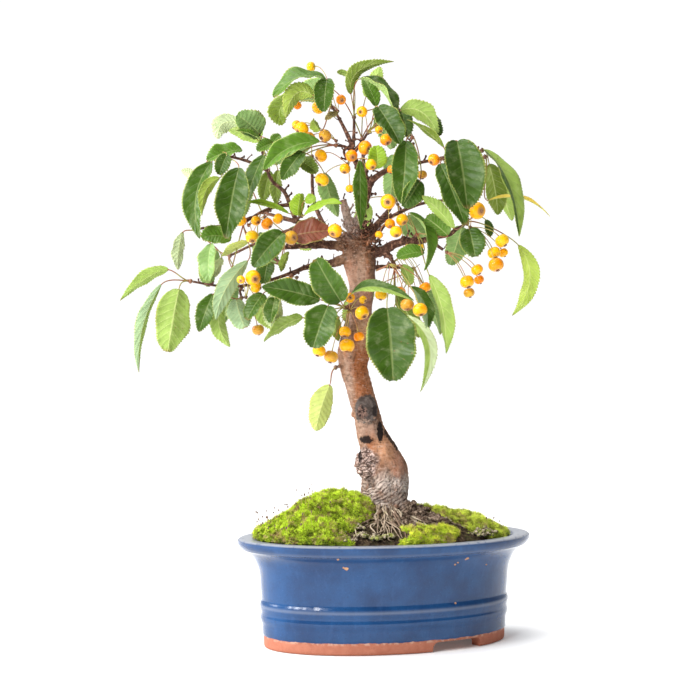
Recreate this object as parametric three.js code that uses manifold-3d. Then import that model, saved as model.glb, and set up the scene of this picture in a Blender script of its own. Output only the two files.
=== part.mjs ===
// A crabapple bonsai in fruit, in an oval glazed pot. Millimetres, +Z up, the tree's front faces -Y.
// The origin is on the table under the middle of the whole plant.
import * as THREE from "three";
import Module from "manifold-3d";

const wasm = await Module();
wasm.setup();

// ---- Driving dimensions -------------------------------------------------------------------------------------

const POT = {
  centre: [36, 0], // of the oval, from the front view's middle line
  turn: 0.29, // radians that the long axis is turned under the tree
  foot: [124, 69.5], // half length and half width over the foot
  height: 106.3,
  floorTop: 18,
  underside: 9.5,
  footRingWidth: 12,
  segments: 28,
};
const FOOT_GAP = { middle: -1.12, width: 56, height: 9.4, corner: 6 }; // the slots that part the foot in two
const DRAIN = { offset: 62, radius: 8 };
const SCREEN = { size: 30, thick: 1.2 };
const CLEARANCE = 0.4; // between pieces that touch on the real plant

const SOIL = { edgeTop: 101.5, crown: 27, roundness: 0.8, rings: 5, segments: 28 };
const LEFT_RISE = { x: -26, y: 4, height: 14, spread: 52 }; // the soil stands higher left of the trunk
const MOSS_LUMP = { height: 1.6, wavelength: 13 };

const EYE = { ahead: 1500, height: 291 }; // the point that the tree's front view is laid out from

const BLADE_THICK = 0.8;
const BLADE_FOLD = 0.34; // radians that each half blade is lifted from flat
const BLADE_ARCH = 0.07; // of its length
const TOOTH = 0.1; // of the half width
const TOOTH_LEAN = 0.03; // of the length
const SHORT_BLADE = 36; // and less has three steps, not four
const LONG_BLADE = 84; // and more has six
const STALK = { radius: 0.8, steps: 2 };
const SPUR_KNOB = 2.0;
const BUNCH_KNOB = 1.7;
const PEDICEL = { radius: 0.7, steps: 2 };
const FRUIT = [
  // distance along the axis from the middle, and radius, as shares of the fruit's radius
  [-0.45, 0.92], [0.48, 0.9],
];
const CALYX_END = 0.93;

const COLOURS = {
  glaze: { color: 0x2f4f8f, roughness: 0.2, metalness: 0 },
  screen: { color: 0x20242a, roughness: 0.6, metalness: 0 },
  soil: { color: 0x3a2a1f, roughness: 1, metalness: 0 },
  moss: { color: 0x7fa51e, roughness: 1, metalness: 0 },
  bark: { color: 0x8a6048, roughness: 0.8, metalness: 0 },
  leaf: { color: 0x3f6b26, roughness: 0.55, metalness: 0 },
  redLeaf: { color: 0x7a3a2c, roughness: 0.6, metalness: 0 },
  yellowLeaf: { color: 0xe0b24a, roughness: 0.6, metalness: 0 },
  fruit: { color: 0xf0a818, roughness: 0.35, metalness: 0 },
};

// ---- Points and solids --------------------------------------------------------------------------------------

// The point that reads as x across and z up from the eye, y behind the plane of the trunk.
function at(x, z, y) {
  const spread = (EYE.ahead + y) / EYE.ahead;
  return new THREE.Vector3(x * spread, y, EYE.height + (z - EYE.height) * spread);
}

function solidOf(points, faces) {
  const vertProperties = new Float32Array(points.flatMap((p) => [p.x, p.y, p.z]));
  const triVerts = new Uint32Array(faces.flat());
  return new wasm.Manifold(new wasm.Mesh({ numProp: 3, vertProperties, triVerts }));
}

const joined = (solids) => wasm.Manifold.union(solids);

// A closed skin over rings, each counter-clockwise seen against the way they run. Rings have as many points as
// the one before, or six after three, and the last may be one point. In the columns named by `slanted` a quad
// is parted along its other diagonal. `meets` says which of three points each of six is next to.
function skinOf(rings, { slanted = [], meets = [0, 0, 1, 1, 2, 2] } = {}) {
  const starts = [];
  let count = 0;
  for (const ring of rings) {
    starts.push(count);
    count += ring.length;
  }
  const faces = [];
  for (let i = 0; i + 1 < rings.length; i++) {
    const [m, n] = [rings[i].length, rings[i + 1].length];
    const [from, to] = [starts[i], starts[i + 1]];
    if (n === 1) for (let j = 0; j < m; j++) faces.push([from + j, from + ((j + 1) % m), to]);
    else
      for (let j = 0; j < n; j++) {
        const next = (j + 1) % n;
        const [a, b] = m === n ? [from + j, from + next] : [from + meets[j], from + meets[next]];
        if (m === n && slanted.includes(j)) faces.push([a, b, to + j], [b, to + next, to + j]);
        else {
          if (a !== b) faces.push([a, b, to + next]);
          faces.push([a, to + next, to + j]);
        }
      }
  }
  const last = starts[rings.length - 1];
  for (let j = 1; j + 1 < rings[0].length; j++) faces.push([0, j + 1, j]);
  for (let j = 1; j + 1 < rings[rings.length - 1].length; j++) faces.push([last, last + j, last + j + 1]);
  return solidOf(rings.flat(), faces);
}

// Rings of a round section that follow a path without twisting. The number of sides may change on the way, and
// the first point of each ring lies toward `normal`.
function ringsAlong(path, radii, sides, { shape = () => 1, normal } = {}) {
  const steps = path.map((p, i) => {
    const [from, to] = [path[Math.max(i - 1, 0)], path[Math.min(i + 1, path.length - 1)]];
    return to.clone().sub(from).normalize();
  });
  let up = normal ?? (Math.abs(steps[0].z) < 0.9 ? new THREE.Vector3(0, 0, 1) : new THREE.Vector3(0, -1, 0));
  return path.map((p, i) => {
    up = up.clone().addScaledVector(steps[i], -up.dot(steps[i])).normalize();
    const side = steps[i].clone().cross(up);
    const n = typeof sides === "number" ? sides : sides[i];
    if (n === 1) return [p];
    return Array.from({ length: n }, (_, j) => {
      const angle = (2 * Math.PI * j) / n;
      const radius = radii[i] * shape(i, angle);
      const out = up.clone().multiplyScalar(radius * Math.cos(angle));
      return out.addScaledVector(side, radius * Math.sin(angle)).add(p);
    });
  });
}

// A tube along a smooth curve through the points, its radius running evenly from one end to the other.
function tube(points, fromRadius, toRadius, sides, steps, grow = 0) {
  const path = new THREE.CatmullRomCurve3(points, false, "centripetal").getPoints(steps);
  const radii = path.map((_, i) => THREE.MathUtils.lerp(fromRadius, toRadius, i / steps) + grow);
  return skinOf(ringsAlong(path, radii, sides));
}

// A lump of rings between two poles, its radii across, back and up.
function lump(centre, radii, sides, polar, shape = () => 1) {
  const place = (angle, turn) => {
    const r = Math.sin(angle) * shape(turn);
    const p = new THREE.Vector3(r * Math.cos(turn), r * Math.sin(turn), Math.cos(angle));
    return p.multiply(radii).add(centre);
  };
  const turns = Array.from({ length: sides }, (_, j) => (2 * Math.PI * j) / sides);
  const rings = polar.map((angle) => turns.map((turn) => place(angle, turn)));
  const low = place(Math.PI, 0);
  const points = [low, ...rings.flat(), place(0, 0)];
  const top = points.length - 1;
  const faces = turns.map((_, j) => [0, 1 + ((j + 1) % sides), 1 + j]);
  for (let j = 0; j < sides; j++) {
    const next = (j + 1) % sides;
    faces.push([top, top - sides + j, top - sides + next]);
    for (let i = 0; i + 1 < rings.length; i++) {
      const [a, b] = [1 + i * sides + j, 1 + i * sides + next];
      faces.push([a, b, b + sides], [a, b + sides, a + sides]);
    }
  }
  return solidOf(points, faces);
}

const knob = (centre, radius) => lump(centre, new THREE.Vector3(radius, radius, radius), 4, [Math.PI / 2]);

function box(centre, size, turn = 0) {
  const half = size.map((s) => s / 2);
  const corners = [[-1, -1], [1, -1], [1, 1], [-1, 1]];
  const rings = [-1, 1].map((level) =>
    corners.map(([x, y]) => {
      const corner = new THREE.Vector3(x * half[0], y * half[1], level * half[2]);
      return corner.applyAxisAngle(new THREE.Vector3(0, 0, 1), turn).add(centre);
    }),
  );
  return skinOf(rings);
}

function meshOf(name, solid, look) {
  const { vertProperties, triVerts } = solid.getMesh();
  const geometry = new THREE.BufferGeometry();
  geometry.setAttribute("position", new THREE.BufferAttribute(new Float32Array(vertProperties), 3));
  geometry.setIndex(new THREE.BufferAttribute(new Uint32Array(triVerts), 1));
  const mesh = new THREE.Mesh(geometry, new THREE.MeshStandardMaterial(look));
  mesh.name = name;
  return mesh;
}

// ---- The pot ------------------------------------------------------------------------------------------------

const POT_CENTRE = new THREE.Vector3(...POT.centre, 0);
const UP = new THREE.Vector3(0, 0, 1);

// A point of the oval that stands out by a distance from the foot's outline.
function ovalPoint(angle, out, z) {
  const [a, b] = POT.foot;
  const point = new THREE.Vector3((a + out) * Math.cos(angle), (b + out) * Math.sin(angle), z);
  return point.applyAxisAngle(UP, POT.turn).add(POT_CENTRE);
}

function ovalRing(out, z, segments) {
  return Array.from({ length: segments }, (_, j) => ovalPoint((2 * Math.PI * j) / segments, out, z));
}

// Where a place is on the oval: 0 in the middle, 1 on an outline that stands out by a distance.
function ovalShare(x, y, out) {
  const local = new THREE.Vector3(x, y, 0).sub(POT_CENTRE).applyAxisAngle(UP, -POT.turn);
  return Math.hypot(local.x / (POT.foot[0] + out), local.y / (POT.foot[1] + out));
}

const POT_WALL = [
  // distance out from the foot's outline, height
  [-1.5, 0], [0, 1.6], [0.2, 11], [1.2, 12.4], [1.8, 24.5], [3.6, 29.5], [2.6, 34], [4.2, 40.5], [2.4, 47],
  [4.6, 72.5], [7, 80.5], [11, 88], [18, 94.3], [22.3, 96.4], [26.2, 102.6], [25.2, 106], [16, POT.height],
  [7.4, 104.4], [2, 92], [-4.5, 66], [-6, 30], [-9, POT.floorTop],
];
const POT_UNDER = [[-POT.footRingWidth, 0], [-POT.footRingWidth - 1, POT.underside]];
const SOIL_OUT = (z) => -6.6 + Math.max(0, z - 62) * 0.2 + Math.max(0, z - 84) * 0.1;

function footSlot(middle) {
  const { width, height, corner } = FOOT_GAP;
  const outline = new THREE.Shape();
  outline.moveTo(-width / 2, -1);
  outline.lineTo(-width / 2, height - corner);
  outline.quadraticCurveTo(-width / 2, height, -width / 2 + corner, height);
  outline.lineTo(width / 2 - corner, height);
  outline.quadraticCurveTo(width / 2, height, width / 2, height - corner);
  outline.lineTo(width / 2, -1);
  const [outer, inner] = [ovalPoint(middle, 8, 0), ovalPoint(middle, -POT.footRingWidth - 12, 0)];
  const inward = inner.clone().sub(outer);
  const across = UP.clone().cross(inward).normalize();
  const section = outline.getPoints(3).reverse();
  const ring = (origin) => section.map((p) => origin.clone().addScaledVector(across, p.x).setZ(p.y));
  return skinOf([ring(outer), ring(inner)]);
}

function pot() {
  const rings = [...POT_WALL, ...[...POT_UNDER].reverse()];
  const outside = POT_WALL.map(([out, z]) => ovalRing(out, z, POT.segments));
  const body = skinOf(outside);
  const recess = skinOf(
    rings.slice(-2).reverse().map(([out, z]) => ovalRing(out, z === 0 ? -1 : z, POT.segments)),
  );
  const drains = drainPlaces().map((place) => {
    const path = [place.clone().setZ(0), place.clone().setZ(POT.floorTop + 1)];
    return skinOf(ringsAlong(path, [DRAIN.radius, DRAIN.radius], 12));
  });
  const slots = [FOOT_GAP.middle, FOOT_GAP.middle + Math.PI].map(footSlot);
  return body.subtract(joined([recess, ...drains, ...slots]));
}

function drainPlaces() {
  const along = new THREE.Vector3(DRAIN.offset, 0, 0).applyAxisAngle(UP, POT.turn);
  return [POT_CENTRE.clone().sub(along), POT_CENTRE.clone().add(along)];
}

function drainScreen(place, grow = 0) {
  const { size, thick } = SCREEN;
  const centre = place.clone().setZ(POT.floorTop + CLEARANCE + thick / 2);
  return box(centre, [size + grow, size + grow, thick + grow], POT.turn);
}

// ---- Soil and moss ------------------------------------------------------------------------------------------

function soilTop(x, y) {
  const share = Math.min(ovalShare(x, y, SOIL_OUT(SOIL.edgeTop)), 1);
  const dome = SOIL.crown * Math.pow(1 - share * share, SOIL.roundness);
  const { x: rx, y: ry, height, spread } = LEFT_RISE;
  const rise = height * Math.exp(-((x - rx) ** 2 + (y - ry) ** 2) / (spread * spread)) * (1 - share ** 4);
  return SOIL.edgeTop + dome + rise;
}

// Moss creeps this far out and up over the rim.
const RIM_SPILL = { out: 9, z: 106.6 };

// A corner of the grid that the soil's top and the moss are laid out on: how many steps round, and rings out.
function soilPoint(step, ring, lift = 0) {
  const angle = (2 * Math.PI * step) / SOIL.segments;
  if (ring > SOIL.rings) return ovalPoint(angle, RIM_SPILL.out, RIM_SPILL.z + lift);
  const rim = ovalPoint(angle, SOIL_OUT(SOIL.edgeTop) - 0.8, 0);
  const place = rim.sub(POT_CENTRE).multiplyScalar(ring / SOIL.rings).add(POT_CENTRE);
  return place.setZ(soilTop(place.x, place.y) + lift);
}

function soil(clearOf) {
  const { rings, segments } = SOIL;
  const side = [[POT.floorTop + CLEARANCE, -10.5], [50, SOIL_OUT(50) - 0.4], [84, SOIL_OUT(84) - 0.8]];
  const layers = side.map(([z, out]) => ovalRing(out, z, segments));
  for (let ring = rings; ring > 0; ring--)
    layers.push(Array.from({ length: segments }, (_, step) => soilPoint(step, ring)));
  layers.push([soilPoint(0, 0)]);
  return skinOf(layers).subtract(clearOf);
}

// Cushions of moss, each over some steps round the soil's grid and some rings out, with its greatest thickness.
const MOSS = {
  moss_left: { steps: [8, 19], rings: [1, 6], thick: 9.5 },
  moss_right: { steps: [-3, 7], rings: [2, 5], thick: 2.6 },
  moss_front: { steps: [-7, -4], rings: [3, 5], thick: 8 },
};

function mossCushion({ steps, rings, thick }, clearOf) {
  const across = steps[1] - steps[0];
  const along = rings[1] - rings[0];
  const { height, wavelength } = MOSS_LUMP;
  const crown = (u, v, p) => {
    const rounded = Math.pow(Math.max(0, 16 * u * (1 - u) * v * (1 - v)), 0.4);
    const lump = Math.sin((2 * Math.PI * p.x) / wavelength) * Math.sin((2 * Math.PI * p.y) / wavelength + 1);
    return 1.6 + rounded * (thick + height * lump);
  };
  const layers = [[], []];
  for (let i = 0; i <= across; i++)
    for (let j = 0; j <= along; j++) {
      const [step, ring] = [steps[0] + i, rings[1] - j];
      const low = soilPoint(step, ring, CLEARANCE);
      layers[0].push(low);
      layers[1].push(soilPoint(step, ring, CLEARANCE + crown(i / across, j / along, low)));
    }
  const row = along + 1;
  const count = layers[0].length;
  const faces = [];
  const wall = (a, b) => faces.push([a, b, b + count], [a, b + count, a + count]);
  for (let i = 0; i < across; i++)
    for (let j = 0; j < along; j++) {
      const a = i * row + j;
      const [b, inner, innerB] = [a + row, a + 1, a + row + 1];
      faces.push([a, innerB, b], [a, inner, innerB]);
      faces.push([a, b, innerB].map((k) => k + count), [a, innerB, inner].map((k) => k + count));
    }
  for (let i = 0; i < across; i++) {
    wall(i * row, (i + 1) * row);
    wall((i + 1) * row + along, i * row + along);
  }
  for (let j = 0; j < along; j++) {
    wall(j + 1, j);
    wall(across * row + j, across * row + j + 1);
  }
  return solidOf(layers.flat(), faces).subtract(clearOf);
}

// ---- The tree's wood ----------------------------------------------------------------------------------------

const TRUNK = [
  // across, up, radius
  [35, 112, 24], [35, 126, 22.5], [34.5, 138, 22.8], [36, 151, 23.4], [35.6, 168, 22.6], [30, 186, 18],
  [21.6, 205, 14.4], [16.5, 224, 12.6], [12, 241, 12.8], [8, 255, 12.2], [3.8, 271, 13.3], [3.4, 288, 15.8],
  [6, 305, 14.3], [9, 320, 12.8], [10.6, 336, 12], [12, 351, 12], [12, 363, 13.6], [10, 378, 16.2],
  [8, 390, 15.4], [7, 399, 12], [6.5, 408, 8.5],
];
const TRUNK_SIDES = 9;

// Limbs and twigs: points as across, up, back; then the radius at each end.
const LIMBS = {
  leader: [[[6, 400, 0], [9, 422, 0], [15, 440, 2], [18.5, 455, 3], [14, 466, 3], [7, 477, 1], [2, 489, -1], [2, 499, -2]], 8, 3],
  right_top: [[[17, 452, 3], [23, 461, 0], [31, 467, -4], [43, 474, -8], [53, 486, -11], [61, 501, -14]], 4.2, 1.8],
  old_top: [[[3, 404, -1], [-2, 420, -3], [-7, 441, -5]], 8, 3.8],
  crown_left: [[[2, 496, -2], [-7, 515, -4], [-16, 531, -6]], 2.6, 1.6],
  crown_top: [[[3, 494, -2], [4, 508, 0], [4, 521, 2]], 2.2, 1.5],
  crown_right: [[[5, 490, -1], [12, 499, 2], [17, 507, 4]], 2.2, 1.5],
  side_left: [[[3, 489, -2], [-5, 494, -5], [-12, 495, -8]], 2, 1.5],
  leader_stub: [[[0, 494, -2], [-6, 490, -4], [-3, 481, -6]], 1.8, 1.4],
  leader_front: [[[16, 462, 2], [16, 466, -4], [16, 470, -9]], 2.4, 1.8],
  right_high: [[[42, 472, -8], [60, 476, -20], [80, 480, -30], [95, 482, -36]], 2.6, 1.6],
  right_far: [[[80, 480, -30], [98, 484, -27], [115, 488, -34], [130, 490, -42]], 2, 1.5],
  right: [[[16, 390, 0], [30, 389, -4], [42, 395, -9], [55, 400, -12], [67, 399, -14], [86, 404, -17], [99, 406, -19], [107, 412, -21], [115, 416, -22]], 9, 1.8],
  right_low: [[[80, 402, -16], [86, 396, -18], [93, 391, -20]], 2.8, 1.7],
  right_under: [[[30, 390, -5], [40, 384, -10], [43, 378, -14]], 4.5, 2.2],
  right_mid: [[[64, 399, -14], [66, 404, -20]], 2.4, 1.7],
  junction_right: [[[16, 398, -4], [28, 408, -12], [36, 417, -18]], 4, 1.7],
  junction_front: [[[4, 398, -8], [-3, 406, -17]], 4, 1.7],
  left: [[[6, 392, 0], [-12, 395, -4], [-30, 396, -8], [-56, 394, -14], [-74, 391, -18], [-77, 384, -22], [-73, 380, -24]], 9, 1.8],
  left_up: [[[-24, 396, -7], [-44, 408, -5], [-54, 421, -2], [-60, 436, 2], [-66, 449, 6], [-78, 460, 8], [-84, 475, 10], [-88, 490, 11]], 3.6, 1.6],
  left_mid: [[[-54, 421, -2], [-50, 424, -7]], 2, 1.6],
  left_high: [[[-82, 470, 9], [-104, 480, 12], [-122, 484, 10], [-134, 484, 8]], 2, 1.5],
  left_fruit: [[[-60, 436, 2], [-74, 434, -5], [-90, 428, -10], [-104, 419, -13]], 2.4, 1.5],
  left_out: [[[-98, 423, -12], [-118, 417, -12], [-136, 414, -12], [-150, 412, -14]], 1.9, 1.4],
  left_low: [[[2, 386, -4], [-16, 378, -8], [-37, 375, -12], [-50, 371, -19], [-57, 366, -27]], 7, 1.8],
  far_left: [[[-48, 372, -17], [-78, 361, -20], [-107, 355, -30], [-133, 355, -36], [-157, 359, -40]], 2.1, 1.3],
  left_hook: [[[-107, 355, -30], [-110, 350, -33], [-109, 345, -35]], 1.7, 1.3],
  front_spur: [[[2, 334, -6], [-4, 333, -18]], 4.6, 2.4],
  stub: [[[-2, 277, -4], [-12, 274, -6]], 3.4, 2],
  back_right: [[[8, 394, 4], [24, 412, 34], [46, 440, 80]], 7, 1.8],
  back_right_far: [[[28, 417, 42], [68, 436, 58], [108, 442, 62]], 2.6, 1.5],
  back_left: [[[4, 396, 4], [-24, 410, 34], [-86, 428, 76]], 6.5, 1.8],
  back_left_high: [[[-24, 410, 34], [-36, 440, 50], [-38, 482, 64]], 3, 1.5],
  back_left_low: [[[-44, 416, 48], [-84, 402, 56], [-118, 386, 60]], 2.4, 1.5],
  back_low: [[[10, 368, 6], [30, 374, 38], [62, 372, 66]], 6, 1.8],
  back_top: [[[15, 450, 3], [14, 470, 22], [12, 500, 50]], 3.2, 1.5],
};

const BURR = { place: [18.5, 179, -3], radii: [13.5, 12, 16] };
const WOUND = { place: [16.5, 231, -9.6], radii: [10.5, 5, 14] };

// Roots that lie on the soil: direction from the trunk in degrees, 0 to the right and -90 to the front; reach
// beyond the trunk's middle; the radius at the trunk; how far the tip swings sideways.
const ROOTS = [
  [-132, 50, 2.6, -7], [-113, 56, 2.2, 6], [-99, 60, 2.4, -6], [-84, 58, 2.2, 7], [-69, 60, 2.6, -8],
  [-52, 56, 3, 9], [-30, 52, 4.6, -6], [-166, 36, 4, 5], [6, 42, 4, 5],
];
const sidesFor = (radius) => (radius > 5 ? 6 : radius > 2.1 ? 4 : 3);
const ROOT_TIP_RADIUS = 0.9;
const ROOT_START = 14;
const ROOT_RISE = 9;

function ripple(i, angle) {
  return 1 + 0.045 * Math.sin(3 * angle + i * 0.9) + 0.03 * Math.sin(5 * angle - i * 1.7);
}

function burrSurface(angle) {
  return 1 + 0.06 * Math.sin(angle * 5);
}

function root([degrees, reach, radius, swing], grow) {
  const angle = THREE.MathUtils.degToRad(degrees);
  const out = new THREE.Vector3(Math.cos(angle), Math.sin(angle), 0);
  const side = UP.clone().cross(out);
  const points = [0, 0.35, 0.68, 1].map((share) => {
    const place = at(35, 126, 0).setZ(0);
    place.addScaledVector(out, THREE.MathUtils.lerp(ROOT_START, reach, share));
    place.addScaledVector(side, swing * share * share);
    return place.setZ(soilTop(place.x, place.y) + radius * 0.3 + ROOT_RISE * (1 - share) ** 2);
  });
  return tube(points, radius, ROOT_TIP_RADIUS, 4, 4, grow);
}

// The roots, trunk, limbs and twigs as one piece of wood, or a little fatter, to cut room for it in its neighbours.
function wood(grow = 0) {
  const path = TRUNK.map(([x, z]) => at(x, z, 0));
  const radii = TRUNK.map(([, , radius]) => radius + grow);
  const trunk = skinOf(ringsAlong(path, radii, TRUNK_SIDES, { shape: ripple }));
  const roots = ROOTS.map((line) => root(line, grow));
  if (grow) return joined([trunk, ...roots]);
  const polar = [2.4, 1.57, 0.75];
  const [burr, wound] = [BURR, WOUND].map(({ place, radii }) =>
    lump(at(...place), new THREE.Vector3(...radii), 8, polar, burrSurface),
  );
  const limbs = Object.values(LIMBS).map(([points, from, to]) =>
    tube(points.map((p) => at(...p)), from, to, sidesFor(from), points.length - 1 + (points.length < 4)),
  );
  return joined([trunk, burr, wound, ...roots, ...limbs]);
}

// ---- Leaves -------------------------------------------------------------------------------------------------

// A leaf: where its blade starts and ends (across, up, back), its width, and how far its upper side is turned
// from the front (0) to the sky (90) and the back (180). It may also pass through a middle point.
const leaf = (base, tip, wide, turn, middle) => ({ base, tip, wide, turn, middle });

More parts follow.
